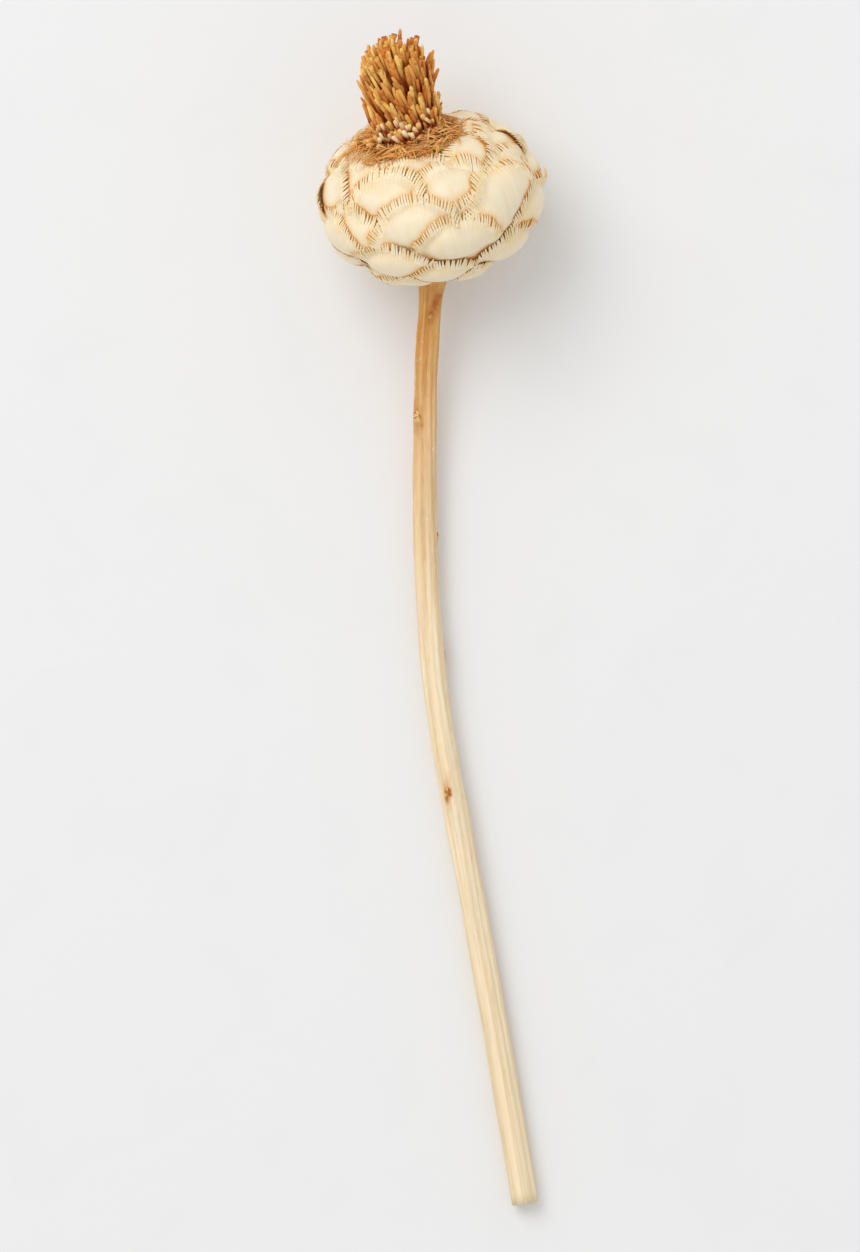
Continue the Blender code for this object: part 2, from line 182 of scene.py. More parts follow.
def tinted(tree, base, mask, strength, tint):
    """The base with a tint mixed in where the mask is, this strongly."""
    return mixed(tree, reckoned(tree, "MULTIPLY", mask, strength), base, tint)


def ranged(tree, value, low, high):
    """0 where the value is below low, 1 where it is above high."""
    node = tree.nodes.new("ShaderNodeMapRange")
    node.interpolation_type = "SMOOTHSTEP"
    feed(tree, node.inputs["Value"], value)
    feed(tree, node.inputs["From Min"], low)
    feed(tree, node.inputs["From Max"], high)
    return node.outputs["Result"]


def attribute(tree, name):
    """A value that the mesh carries at its vertices."""
    node = tree.nodes.new("ShaderNodeAttribute")
    node.attribute_name = name
    return node.outputs["Fac"]


# %% The group that draws dry fibres
def new_group(name, inputs, outputs):
    """An empty shader node group, with its input and output nodes."""
    group = bpy.data.node_groups.new(name, "ShaderNodeTree")
    for label, kind, value in inputs:
        socket = group.interface.new_socket(label, in_out="INPUT", socket_type=kind)
        if value is not None:
            socket.default_value = value
    for label, kind in outputs:
        group.interface.new_socket(label, in_out="OUTPUT", socket_type=kind)
    return group, group.nodes.new("NodeGroupInput"), group.nodes.new("NodeGroupOutput")


def dry_fibres_group():
    """Fine lines that run along a piece: noise squeezed across the UV map and stretched along it."""
    group, given, result = new_group(
        "dry_fibres",
        [
            ("Across", "NodeSocketFloat", 60.0),
            ("Along", "NodeSocketFloat", 2.0),
            ("Seed", "NodeSocketFloat", 0.0),
        ],
        [("Mask", "NodeSocketFloat")],
    )
    flow = group.nodes.new("ShaderNodeUVMap")
    flow.uv_map = "flow"
    apart = group.nodes.new("ShaderNodeSeparateXYZ")
    group.links.new(flow.outputs["UV"], apart.inputs[0])
    stretched = group.nodes.new("ShaderNodeCombineXYZ")
    for axis, scale in (("X", "Across"), ("Y", "Along")):
        times = reckoned(group, "MULTIPLY", apart.outputs[axis], given.outputs[scale], clamp=False)
        group.links.new(times, stretched.inputs[axis])
    group.links.new(given.outputs["Seed"], stretched.inputs["Z"])
    lines = group.nodes.new("ShaderNodeTexNoise")
    lines.inputs["Scale"].default_value = 1.0
    lines.inputs["Detail"].default_value = 3.0
    lines.inputs["Roughness"].default_value = 0.6
    group.links.new(stretched.outputs[0], lines.inputs["Vector"])
    group.links.new(ranged(group, lines.outputs["Fac"], 0.3, 0.7), result.inputs["Mask"])
    return group


DRY_FIBRES = dry_fibres_group()

# %% The group that draws stains
def stains_group():
    """Soft blotches, as bleaching leaves them: Size is in blotches a metre, Cover a share from 0 to 1."""
    group, given, result = new_group(
        "stains",
        [("Size", "NodeSocketFloat", 150.0), ("Cover", "NodeSocketFloat", 0.4)],
        [("Mask", "NodeSocketFloat")],
    )
    place = group.nodes.new("ShaderNodeTexCoord")
    blotches = group.nodes.new("ShaderNodeTexNoise")
    blotches.inputs["Detail"].default_value = 4.0
    blotches.inputs["Distortion"].default_value = 0.6
    group.links.new(place.outputs["Object"], blotches.inputs["Vector"])
    group.links.new(given.outputs["Size"], blotches.inputs["Scale"])
    half_cover = reckoned(group, "MULTIPLY", given.outputs["Cover"], 0.5)
    low = reckoned(group, "SUBTRACT", 0.75, half_cover)
    high = reckoned(group, "ADD", low, 0.2)
    group.links.new(ranged(group, blotches.outputs["Fac"], low, high), result.inputs["Mask"])
    return group


STAINS = stains_group()

# %% Place the effects in a material, and finish it
def effect(tree, group, **values):
    """The mask that a shared group puts out, with this material's own values."""
    node = tree.nodes.new("ShaderNodeGroup")
    node.node_tree = group
    for name, value in values.items():
        feed(tree, node.inputs[name], value)
    return node.outputs["Mask"]


def new_look(name):
    """A new material, and the node tree to build it in."""
    look = bpy.data.materials.new(name)
    look.use_nodes = True
    return look, look.node_tree


def finish_look(tree, base, roughness, relief, depth):
    """Wires a colour and a relief into the material's Principled shader."""
    shader = tree.nodes["Principled BSDF"]
    feed(tree, shader.inputs["Base Color"], base)
    shader.inputs["Roughness"].default_value = roughness
    bump = tree.nodes.new("ShaderNodeBump")
    bump.inputs["Distance"].default_value = depth
    feed(tree, bump.inputs["Height"], relief)
    tree.links.new(bump.outputs["Normal"], shader.inputs["Normal"])


def stained_look(name, size, cover, first, second, roughness, depth):
    """A whole plain material: two colours that change over in stains, which are its relief too."""
    look, tree = new_look(name)
    stain = effect(tree, STAINS, Size=size, Cover=cover)
    finish_look(tree, mixed(tree, stain, first, second), roughness, stain, depth)
    return look


# %% [markdown]
# ## The bracts
#
# A bract is a stiff papery scale. It is flat where it is hidden and swells to a satin pillow where
# it shows, and its upper rim is split into a comb that lies over the bracts above. A cloth
# simulation could wrap the scales, but dry bracts don't drape. So each is a flat round sheet,
# mapped onto the ball at the next place on a spiral: the sheets are laid from the mouth down, and
# a ray towards the ball finds what already lies there, so that each rests on those before it.

# %% The ball's core, which the bracts are wrapped round
CORE_RADIUS = 21.2 * MM
CORE_HALF_HEIGHT = 15.2 * MM


def core_point(direction):
    """The core's surface straight out along this direction, and its outward normal there."""
    scaled = Vector((direction.x / CORE_RADIUS, direction.y / CORE_RADIUS, direction.z / CORE_HALF_HEIGHT))
    point = direction / scaled.length
    normal = Vector((point.x / CORE_RADIUS**2, point.y / CORE_RADIUS**2, point.z / CORE_HALF_HEIGHT**2))
    return point, normal.normalized()


# %% Where each bract grows on the ball
BRACT_COUNT = 45
FIRST_BRACT_TURN = math.radians(80)
LOWEST_BRACT = math.radians(22)
HIGHEST_BRACT = math.radians(143)
NECK_BRACTS = 6
NECK_BRACT_AT = math.radians(27)
# How many millimetres these have grown off the spiral, round the ball and towards its mouth, and
# their share of the usual size.
STRAYED_BRACTS = {
    9: (1.0, -0.5, 1.0),
    12: (-3.0, 2.3, 0.93),
    17: (1.0, 3.0, 1.0),
    20: (1.5, 3.0, 1.0),
    22: (-1.5, -3.0, 1.0),
    25: (7.0, -3.5, 1.0),
    30: (-0.5, 0.8, 0.83),
    33: (-4.3, -1.5, 1.12),
    35: (2.0, -3.0, 1.0),
    38: (1.0, -1.5, 1.0),
    40: (6.5, -0.5, 1.0),
    43: (4.0, -3.5, 1.0),
}


def bract_spot(index):
    """A bract's place on the spiral, from 0 at the neck up, or in the ring round the neck, below 0."""
    share = (index + 0.5) / BRACT_COUNT
    height = math.cos(LOWEST_BRACT) + share * (math.cos(HIGHEST_BRACT) - math.cos(LOWEST_BRACT))
    turn = FIRST_BRACT_TURN + index * GOLDEN_ANGLE
    if index < 0:
        height = math.cos(NECK_BRACT_AT)
        turn = math.tau * index / NECK_BRACTS
    girth = math.sqrt(1 - height**2)
    sideways = Vector((-math.sin(turn), math.cos(turn), 0))
    spot, normal = core_point(facing(turn) * CORE_RADIUS * girth + Vector((0, 0, -CORE_HALF_HEIGHT * height)))
    across, along, _ = STRAYED_BRACTS.get(index, (0, 0, 1))
    return core_point(spot + sideways * across * MM + normal.cross(sideways) * along * MM)


# %% How large a bract is, and how it is turned
BRACT_HALF_WIDTH = 9.3 * MM
BRACT_HALF_LENGTH = 9.3 * MM
NECK_BRACT_SIZE = 0.7
MOUTH_BRACT_SIZE = 0.5
BRACT_TWIST = math.radians(8)
BRACT_UNEVEN = 0.06
BRACT_ROOT = -1.0 * MM
NECK_ROOT = 0.1 * MM
BRACT_PUFF = 1.85 * MM
PUFF_RANGE = (0.85, 1.1)
GAPE_RANGE = (-1.2, 1.0)
BRACT_SEED = 5


def bract_place(index):
    """All that laying a bract needs: its spot, its half axes, how deep its root is, how far it puffs.

    Nearly half of them gape: their edge stands open a little, towards one side.
    """
    centre, normal = bract_spot(index)
    girth = centre.xy.length / CORE_RADIUS
    smallest = MOUTH_BRACT_SIZE if centre.z > 0 else NECK_BRACT_SIZE
    size = smallest + (1 - smallest) * smooth_step(0.4, 0.95, girth)
    grown = random.Random(BRACT_SEED + index)
    twist = Matrix.Rotation(grown.uniform(-BRACT_TWIST, BRACT_TWIST), 3, normal)
    sideways = twist @ Vector((-centre.y, centre.x, 0)).normalized()
    size *= STRAYED_BRACTS.get(index, (0, 0, 1))[2]
    grown_by = size * grown.uniform(1 - BRACT_UNEVEN, 1 + BRACT_UNEVEN)
    place = {
        "seed": index,
        "size": size,
        "centre": centre,
        "across": sideways * BRACT_HALF_WIDTH * grown_by,
        "along": normal.cross(sideways) * BRACT_HALF_LENGTH * grown_by,
        "root": BRACT_ROOT,
        "puff": BRACT_PUFF * size * grown.uniform(*PUFF_RANGE),
        "gape": max(0, grown.uniform(*GAPE_RANGE)) * MM,
        "gape_turn": math.radians(grown.uniform(0, 180)),
    }
    if centre.z < 0:
        place["root"] += (NECK_ROOT - BRACT_ROOT) * (1 - smooth_step(0.4, 0.85, girth))
    return place


print("bract sizes:", [round(bract_place(index)["size"], 2) for index in range(0, BRACT_COUNT, 8)])

# %% A flat round sheet, with a UV map that fans out from its root
SHEET_ROWS = 26
FAN_CENTRE = Vector((0, -0.8))


def add_fan_map(bm):
    """U is the turn about the sheet's root and V the distance from it, so that lines run outwards."""
    flow = bm.loops.layers.uv.new("flow")
    for face in bm.faces:
        for loop in face.loops:
            from_root = loop.vert.co.xy - FAN_CENTRE
            loop[flow].uv = (math.atan2(from_root.x, from_root.y), from_root.length)


def round_sheet():
    """A square grid pulled round, of radius 1, with its tip towards +Y."""
    bm = bmesh.new()
    bmesh.ops.create_grid(bm, x_segments=SHEET_ROWS, y_segments=SHEET_ROWS, size=1)
    rim = bm.verts.layers.float.new("rim")
    for vertex in bm.verts:
        x, y, _ = vertex.co
        vertex.co = (x * math.sqrt(1 - y * y / 2), y * math.sqrt(1 - x * x / 2), 0)
        vertex[rim] = vertex.co.length
    add_fan_map(bm)
    return bm


# %% How far a point of the flat sheet stands off the ball's core
BRACT_RISE = 0.4 * MM
BRACT_STEP = 0.5 * MM
RIM_STEP = 0.34 * MM
PLEAT_DEPTH = 0.14 * MM
PILLOW_MIDDLE = 0.4
PILLOW_HALF_WIDTH = 0.9
PILLOW_HALF_LENGTH = 0.62
RIM_FROM = 0.72
GAPE_WIDTH = math.radians(26)


def bract_height(place, x, y):
    """How far a bract stands off the core: sunk at its root, puffed and a little pleated where it shows."""
    ramp = place["root"] + (BRACT_RISE - place["root"]) * smooth_step(-1, 0.6, y)
    swell = 1 - (x / PILLOW_HALF_WIDTH) ** 2 - ((y - PILLOW_MIDDLE) / PILLOW_HALF_LENGTH) ** 2
    turn = math.atan2(x, y - FAN_CENTRE.y)
    pleat = noise.noise(Vector((8 * turn, 1.2 * y, 5.3 * place["seed"])))
    pleats = PLEAT_DEPTH * pleat * smooth_step(0.1, 1, math.hypot(x, y))
    return ramp + place["puff"] * smooth_step(0, 1, swell) + pleats


# %% Leave the mouth open for the brush
MOUTH_RADIUS = 7.6 * MM
MOUTH_GATHER = 0.15
MOUTH_DIVE = 0.8


def part_at_mouth(point):
    """Gathers what would cover the mouth into a rim that dives in round the foot of the brush."""
    local = BRUSH.inverted() @ point
    inside = MOUTH_RADIUS - local.xy.length
    if inside <= 0 or local.z < 0 or local.xy.length == 0:
        return point
    rim = local.xy.normalized() * (MOUTH_RADIUS - MOUTH_GATHER * inside)
    return BRUSH @ Vector((rim.x, rim.y, local.z - MOUTH_DIVE * inside))


# %% Lay a point of the sheet on whatever lies there
def laid_point(place, x, y, laid, lift=0.0):
    """Where x, y of the flat sheet lies on the ball. laid is a tree of the sheets below it, or None."""
    point, normal = core_point(place["centre"] + place["across"] * x + place["along"] * y)
    height = bract_height(place, x, y)
    hit = laid.ray_cast(point + normal * CORE_RADIUS, -normal, CORE_RADIUS)[0] if laid else None
    if hit:
        below = (hit - point).dot(normal)
        rim = smooth_step(RIM_FROM, 1, math.hypot(x, y))
        from_gape = (math.atan2(y, x) - place["gape_turn"]) / GAPE_WIDTH
        open_edge = place["gape"] * math.exp(-(from_gape**2))
        clear = max(height, below + BRACT_STEP)
        height = clear + (below + RIM_STEP + open_edge - clear) * rim
    return part_at_mouth(point + normal * (height + lift))


# %% [markdown]
# ## The combs
#
# A real bract's upper rim splits into stiff flat teeth, which lie over the bract above and bridge
# the valley before it. Hair particles would give them quickly, but as round hairs that know
# nothing of the bracts under them. So one slim rod is modelled, and each tooth is a copy of it that
# is bent between two points laid on the ball. The florets, shreds and bristles use such a rod too.

# %% A slim rod, for teeth, florets, scraps, bristles and scars
def slim_rod(sides, rings):
    """A closed rod along +Z, with a radius at each of these heights. Reach is how far up a point is."""
    bm = bmesh.new()
    height, radius = rings[0]
    bmesh.ops.create_circle(bm, cap_ends=True, segments=sides, radius=radius)
    bmesh.ops.translate(bm, verts=bm.verts, vec=(0, 0, height))
    cap = bm.faces[:]
    for next_height, next_radius in rings[1:]:
        grown = bmesh.ops.extrude_face_region(bm, geom=cap)["geom"]
        bmesh.ops.delete(bm, geom=cap, context="FACES_ONLY")
        ring = [item for item in grown if isinstance(item, bmesh.types.BMVert)]
        cap = [item for item in grown if isinstance(item, bmesh.types.BMFace)]
        bmesh.ops.scale(bm, verts=ring, vec=(next_radius / radius, next_radius / radius, 1))
        bmesh.ops.translate(bm, verts=ring, vec=(0, 0, next_height - height))
        height, radius = next_height, next_radius
    bmesh.ops.edgeloop_fill(bm, edges=[edge for edge in bm.edges if edge.is_boundary])
    bmesh.ops.recalc_face_normals(bm, faces=bm.faces)
    flow = bm.loops.layers.uv.new("flow")
    reach = bm.verts.layers.float.new("reach")
    for vertex in bm.verts:
        vertex[reach] = vertex.co.z
    for face in bm.faces:
        for loop in face.loops:
            loop[flow].uv = (abs(math.atan2(loop.vert.co.y, loop.vert.co.x)), loop.vert.co.z)
    return bm


# %% Bend a rod along a curve
def bent(rod, start, middle, end, up, width, flatness=1.0):
    """A copy of a rod, run from start to end by way of middle. Its flat side faces up."""
    made = rod.copy()
    pull = 2 * middle - (start + end) / 2
    for vertex in made.verts:
        x, y, share = vertex.co
        place = start * (1 - share) ** 2 + pull * 2 * share * (1 - share) + end * share**2
        ahead = (pull - start) * (1 - share) + (end - pull) * share
        aside = up.cross(ahead).normalized()
        over = ahead.cross(aside).normalized()
        vertex.co = place + aside * x * width + over * y * width * flatness
    return made


# %% Comb a bract's upper rim into teeth
TOOTH_RINGS = ((0.0, 1.3), (0.3, 1.3), (0.6, 1.15), (0.88, 0.85), (1.0, 0.4))
TOOTH_PITCH = 0.66 * MM
TOOTH_LENGTH = 4.2 * MM
TOOTH_WIDTH = 0.27 * MM
TOOTH_ROOT = 0.85
TOOTH_FLATNESS = 0.3
TOOTH_START = -0.1 * MM
TOOTH_MIDDLE = -0.04 * MM
TOOTH_REST = 0.1 * MM
TOOTH_MARKS = (0.42, 0.58, 0.74)
BRIDGE_SHARE = 0.6
COMB_FROM = math.radians(-12)
COMB_TO = math.radians(192)


def tooth_strip():
    """A square rod stood on its flats: pressed flat it is a strip, whose sharp edges keep it even."""
    tooth = slim_rod(4, TOOTH_RINGS)
    eighth = Matrix.Rotation(math.pi / 4, 3, "Z")
    bmesh.ops.rotate(tooth, verts=tooth.verts, cent=(0, 0, 0), matrix=eighth)
    for edge in tooth.edges:
        edge.smooth = False
    return tooth


def comb(place, laid, draw):
    """A bract's teeth, each with three spots along it. Each is stiff, so it bridges the valley."""
    tooth = tooth_strip()
    half = place["across"].length
    count = round((COMB_TO - COMB_FROM) * half / TOOTH_PITCH)
    teeth = []
    for number in range(count):
        turn = COMB_FROM + (COMB_TO - COMB_FROM) * (number + 0.5 + draw.uniform(-0.1, 0.1)) / count
        root = Vector((math.cos(turn), math.sin(turn))) * TOOTH_ROOT
        aim = (root - FAN_CENTRE).normalized()
        aim += Vector((aim.y, -aim.x)) * draw.uniform(-0.06, 0.06)
        wave = 1 + 0.4 * noise.noise(Vector((2.5 * turn, 7.1 * place["seed"], 0)))
        tip = root + aim * TOOTH_LENGTH * (0.5 + 0.5 * place["size"]) * wave * draw.uniform(0.8, 1) / half
        start = laid_point(place, *root, laid, TOOTH_START)
        resting = TOOTH_REST - RIM_STEP + max(0, draw.gauss(-0.2, 0.25)) * MM
        end = laid_point(place, *tip, laid, resting)
        bridge = (start + end) / 2
        level = laid_point(place, *((root + tip) / 2), laid, TOOTH_MIDDLE)
        up = core_point(bridge)[1]
        sunk = (bridge - level).dot(up)
        middle = level.lerp(bridge, BRIDGE_SHARE) if sunk > 0 else level
        one = bent(tooth, start, middle, end, up, TOOTH_WIDTH * draw.uniform(0.9, 1.05), TOOTH_FLATNESS)
        teeth.append((one, [start.lerp(end, part) for part in TOOTH_MARKS]))
    tooth.free()
    return teeth


# %% Lay all the bracts, from the mouth down
COMB_SEED = 5
sheet = round_sheet()
draw = random.Random(COMB_SEED)
bracts = []
points = []
faces = []
for index in reversed(range(-NECK_BRACTS, BRACT_COUNT)):
    place = bract_place(index)
    tree = BVHTree.FromPolygons(points, faces) if faces else None
    scale = sheet.copy()
    for vertex in scale.verts:
        vertex.co = laid_point(place, vertex.co.x, vertex.co.y, tree)
    inner = [vertex for vertex in scale.verts if not vertex.is_boundary]
    every_axis = {"use_axis_x": True, "use_axis_y": True, "use_axis_z": True}
    bmesh.ops.smooth_vert(scale, verts=inner, factor=0.5, **every_axis)
    teeth = comb(place, tree, draw)
    scale.verts.index_update()
    first = len(points)
    points.extend(vertex.co.copy() for vertex in scale.verts)
    faces.extend([first + vertex.index for vertex in face.verts] for face in scale.faces)
    bracts.append((index, scale, teeth))
sheet.free()
BALL_SURFACE = BVHTree.FromPolygons(points, faces)
print("laid", len(bracts), "bracts with", sum(len(teeth) for *_, teeth in bracts), "teeth")

# %% [markdown]
# The valleys between the pillows are golden tan, where the teeth lie close together over the bract
# above. The colour painted there is partly the bract's own tan and partly painted shade. A texture
# can't know where that is, but the mesh can: for each bract, a tree holds the teeth that show
# nearer the neck, which are those that can lie on it, and each vertex stores how near the nearest
# one is. The material turns that value into colour. A second value marks the straw-coloured ring
# round the foot of the brush in the same way.

# %% Store how near each point is to a comb, and to the foot of the brush
# How far from a tooth the tan and the painted shade under the combs reach.
TAN_AND_SHADE_FROM = 2.8 * MM
TAN_AND_SHADE_TO = 0.2 * MM
SHAGGY_SIDE = math.radians(-52)
STRAW_FROM = 7.5
STRAW_TO = 10.3
SHAGGY_FURTHER = 2.6
STRAW_INSIDE = 0.45


# The value stored here drives the tan and the painted shade in the valleys under the combs.
def mark_tan_and_shade(bm, tree):
    """Stores 1 at a tooth of the tree, falling to 0 well away from them all."""
    layer = bm.verts.layers.float.new("tan_and_shade")
    for vertex in bm.verts:
        vertex[layer] = 1 - smooth_step(TAN_AND_SHADE_TO, TAN_AND_SHADE_FROM, tree.find(vertex.co)[2] if tree else TAN_AND_SHADE_FROM)


def mark_by_brush(bm):
    """Stores how near the foot of the brush each point lies. It reaches furthest on the shaggy side."""
    layer = bm.verts.layers.float.new("by_brush")
    for vertex in bm.verts:
        spot = BRUSH.inverted() @ vertex.co
        towards = math.cos(math.atan2(spot.y, spot.x) - SHAGGY_SIDE)
        straw_to = (STRAW_TO + SHAGGY_FURTHER * towards) * MM
        near = 1 - smooth_step(STRAW_FROM * MM, straw_to, spot.xy.length)
        vertex[layer] = near if spot.z > 0 else STRAW_INSIDE * near


# %% Join the bracts, without the teeth that other bracts cover
COVER = 3.0 * MM
RAY_START = 0.3


def is_covered(spot, over):
    """Whether a bract lies over this spot. over is a tree of the bracts nearer the neck, or None."""
    up = core_point(spot)[1]
    return over is not None and over.ray_cast(spot - up * RAY_START * MM, up, COVER)[0] is not None


bracts.sort(key=lambda bract: bract[0])
comb_spots = []
covers = ([], [])
all_sheets = bmesh.new()
all_teeth = bmesh.new()
near = None
teeth_kept = 0
for _, scale, teeth in bracts:
    over = BVHTree.FromPolygons(*covers) if covers[1] else None
    mark_tan_and_shade(scale, near)
    mark_by_brush(scale)
    set_value(scale, "tone", draw.random())
    for one, spots in teeth:
        if sum(is_covered(spot, over) for spot in spots) < 2:
            mark_by_brush(one)
            add_copy(all_teeth, one)
            comb_spots += spots
            teeth_kept += 1
        one.free()
    near = KDTree(len(comb_spots))
    for number, spot in enumerate(comb_spots):
        near.insert(spot, number)
    near.balance()
    scale.verts.index_update()
    first = len(covers[0])
    covers[0].extend(vertex.co.copy() for vertex in scale.verts)
    covers[1].extend([first + vertex.index for vertex in face.verts] for face in scale.faces)
    add_copy(all_sheets, scale)
    scale.free()
print(teeth_kept, "teeth show")

# %% Press the underside flat, where the ball lies
PRESS_FROM = 2.0 * MM


def press(bm):
    """Lays the head down and squeezes what would sink into the surface, keeping its layers in order."""
    bmesh.ops.transform(bm, matrix=HEAD, verts=bm.verts)
    for vertex in bm.verts:
        if vertex.co.z < PRESS_FROM:
            vertex.co.z = PRESS_FROM * math.exp((vertex.co.z - PRESS_FROM) / PRESS_FROM)


press(all_sheets)
press(all_teeth)
print("lowest point in mm:", round(min(vertex.co.z for vertex in all_sheets.verts) / MM, 2))

# %% [markdown]
# ## The finish of the bracts
#
# A bleached bract is satin ivory. Fine lines fan out from its root to its teeth, it turns golden
# tan where the combs lie, and bleaching leaves faint stains. In the valleys under the combs it is
# painted darker gold, as painted shade. A photograph on the surface would do that in one image, but
# noise along the fan map stays sharp from any distance. So the colour is built in layers, each mixed
# in by its own mask, and the same lines give a faint relief.

# %% The material of the sheets
def bract_look():
    look, tree = new_look("bleached_bract")
    broad = effect(tree, DRY_FIBRES, Across=11.0, Along=0.7)
    fine = effect(tree, DRY_FIBRES, Across=42.0, Along=1.2, Seed=4.0)
    stain = effect(tree, STAINS, Size=120.0, Cover=0.5)
    rim = reckoned(tree, "MULTIPLY", ranged(tree, attribute(tree, "rim"), 0.55, 1.0), 0.5)
    tan_and_shade = attribute(tree, "tan_and_shade")
    base = mixed(tree, broad, colour(250, 238, 212), colour(247, 229, 192))
    base = mixed(tree, attribute(tree, "tone"), base, colour(248, 232, 200))
    base = tinted(tree, base, stain, 0.3, colour(238, 206, 148))
    lines = reckoned(tree, "MULTIPLY", fine, reckoned(tree, "ADD", 0.08, rim))
    base = mixed(tree, lines, base, colour(230, 188, 118))
    # A tan band where the combs of the bract below lie: partly the bract's own less bleached colour, partly
    # painted shade.
    base = tinted(tree, base, ranged(tree, tan_and_shade, 0.1, 0.9), 0.6, colour(240, 200, 134))
    # Darker gold deep in the valleys under the teeth is painted shade, made patchy by stains.
    gold_and_shade = mixed(tree, fine, colour(240, 172, 68), colour(206, 124, 28))
    shade_patches = effect(tree, STAINS, Size=90.0, Cover=0.75)
    combed_shade = reckoned(tree, "MULTIPLY", ranged(tree, tan_and_shade, 0.7, 0.95), reckoned(tree, "ADD", 0.55, shade_patches))
    base = mixed(tree, combed_shade, base, gold_and_shade)
    straw = mixed(tree, fine, colour(240, 184, 94), colour(200, 116, 28))
    base = tinted(tree, base, attribute(tree, "by_brush"), 0.85, straw)
    finish_look(tree, base, 0.42, reckoned(tree, "ADD", broad, fine), 0.02 * MM)
    return look


# %% The material of the teeth
def comb_look():
    look, tree = new_look("bract_comb")
    stain = effect(tree, STAINS, Size=400.0, Cover=0.7)
    fine = effect(tree, DRY_FIBRES, Across=3.0, Along=3.0)
    base = mixed(tree, stain, colour(251, 237, 206), colour(246, 223, 174))
    base = tinted(tree, base, attribute(tree, "reach"), 0.3, colour(240, 196, 120))
    base = tinted(tree, base, attribute(tree, "by_brush"), 0.8, colour(226, 170, 92))
    finish_look(tree, base, 0.45, fine, 0.005 * MM)
    return look


# %% Make the sheets and the teeth into pieces
SHEET_THICKNESS = 0.3 * MM
sheets = piece_from(all_sheets, "bract_sheets", bract_look(), ["bract_ball"])
wall = sheets.modifiers.new("thickness", "SOLIDIFY")
wall.thickness = SHEET_THICKNESS
wall.offset = -1
piece_from(all_teeth, "bract_combs", comb_look())

# %% [markdown]
# ## The heart of the ball
#
# Between the bracts one looks into a dim tan inside. The real ball holds more layers of bracts
# there. They could be laid like the others, but nobody would see their shape. A closed spheroid
# just under the sheets stands for them, and keeps light from leaking through the ball.

# %% Model the heart
HEART_SHRINK = 0.98

heart_tan = colour(214, 152, 74)
heart_look = stained_look("ball_heart", 300.0, 0.6, heart_tan, colour(176, 108, 36), 0.75, 0.1 * MM)
heart = bmesh.new()
bmesh.ops.create_uvsphere(heart, u_segments=48, v_segments=28, radius=HEART_SHRINK)
bmesh.ops.scale(heart, verts=heart.verts, vec=(CORE_RADIUS, CORE_RADIUS, CORE_HALF_HEIGHT))
press(heart)
piece_from(heart, "ball_heart", heart_look)

# %% [markdown]
# ## The brush
#
# Each floret is a stiff dry tube. Most end bluntly, and some of those on top have opened. They
# stand in tiers: short ones lean out at the foot, long ones stand along the brush, all swept round
# by a slight swirl. A blunt and an opened rod are modelled once, with few faces. Each copy is then
# bent along a curve of its own, from its root inside the brush to its tip on the outline. Particles
# could scatter the rods too, but a spiral keeps them as evenly packed as they grow.

# %% The two rods that every floret is bent from
FLORET_SIDES = 7
FLORET_RINGS = ((0.0, 0.62), (0.35, 0.8), (0.7, 0.96), (0.88, 1.0), (0.97, 0.8), (1.0, 0.4))
OPEN_RINGS = ((0.0, 0.62), (0.45, 0.8), (0.8, 0.85), (0.92, 1.0), (1.0, 1.35), (0.95, 1.0), (0.88, 0.5))

floret_rod = slim_rod(FLORET_SIDES, FLORET_RINGS)
open_rod = slim_rod(FLORET_SIDES, OPEN_RINGS)
print("a blunt floret has", len(floret_rod.faces), "faces, an opened one", len(open_rod.faces))

# %% Where a floret's root and tip stand
BRUSH_RADIUS = 7.5 * MM
FOOT_AND_SHOULDER = 0.94
BRUSH_FOOT_Z = 16.2 * MM
BRUSH_SHOULDER_Z = 30.0 * MM
BRUSH_TOP_Z = 34.6 * MM
SIDE_SHARE = 0.74
FOOT_CROWDING = 1.25
FLORET_COUNT = 540
FLORET_RADIUS = 0.47 * MM
FLORET_FLOOR_Z = 14.6 * MM
LONGEST_FLORET = 11.0 * MM
FLORET_GATHER = 0.76
FLORET_SWIRL = math.radians(34)
FLORET_UNEVEN = 1.3 * MM
FLORET_STRAY = 0.075
BROKEN_SHARE = 0.1
BROKEN_AT = (0.72, 0.9)
OPEN_SHARE = 0.22
FLORET_SEED = 7


def floret_line(share, turn, draw):
    """The root and the tip of a floret, in the brush's frame."""
    if share < SIDE_SHARE:
        rise = share / SIDE_SHARE
        radius = BRUSH_RADIUS * (FOOT_AND_SHOULDER + (1 - FOOT_AND_SHOULDER) * math.sin(math.pi * rise))
        height = BRUSH_FOOT_Z + (BRUSH_SHOULDER_Z - BRUSH_FOOT_Z) * rise**FOOT_CROWDING
    else:
        inwards = (share - SIDE_SHARE) / (1 - SIDE_SHARE)
        radius = BRUSH_RADIUS * FOOT_AND_SHOULDER * math.sqrt(1 - inwards)
        height = BRUSH_SHOULDER_Z + (BRUSH_TOP_Z - BRUSH_SHOULDER_Z) * math.sqrt(inwards)
    height += draw.uniform(-FLORET_UNEVEN, FLORET_UNEVEN)
    radius += draw.uniform(-1.0, 0.3) * MM
    root_height = max(FLORET_FLOOR_Z, height - LONGEST_FLORET)
    root_turn = turn + FLORET_SWIRL * (height - root_height) / LONGEST_FLORET
    root = facing(root_turn) * FLORET_GATHER * radius + Vector((0, 0, root_height))
    tip = facing(turn) * radius + Vector((0, 0, height))
    if draw.random() < BROKEN_SHARE:
        tip = root.lerp(tip, draw.uniform(*BROKEN_AT)) * 1.02
    stray = Vector((draw.gauss(0, 1), draw.gauss(0, 1), 0.3 * draw.gauss(0, 1)))
    return root, tip + stray * FLORET_STRAY * (tip - root).length


# %% Grow the brush
FLATNESS_RANGE = (0.6, 1)
WIDTH_RANGE = (0.78, 1.2)


def add_to_brush(whole, one, **values):
    """Lays one bent rod down with the brush, gives it its values and adds it to the rest."""
    bmesh.ops.transform(one, matrix=HEAD @ BRUSH, verts=one.verts)
    for name, value in values.items():
        set_value(one, name, value)
    add_copy(whole, one)
    one.free()


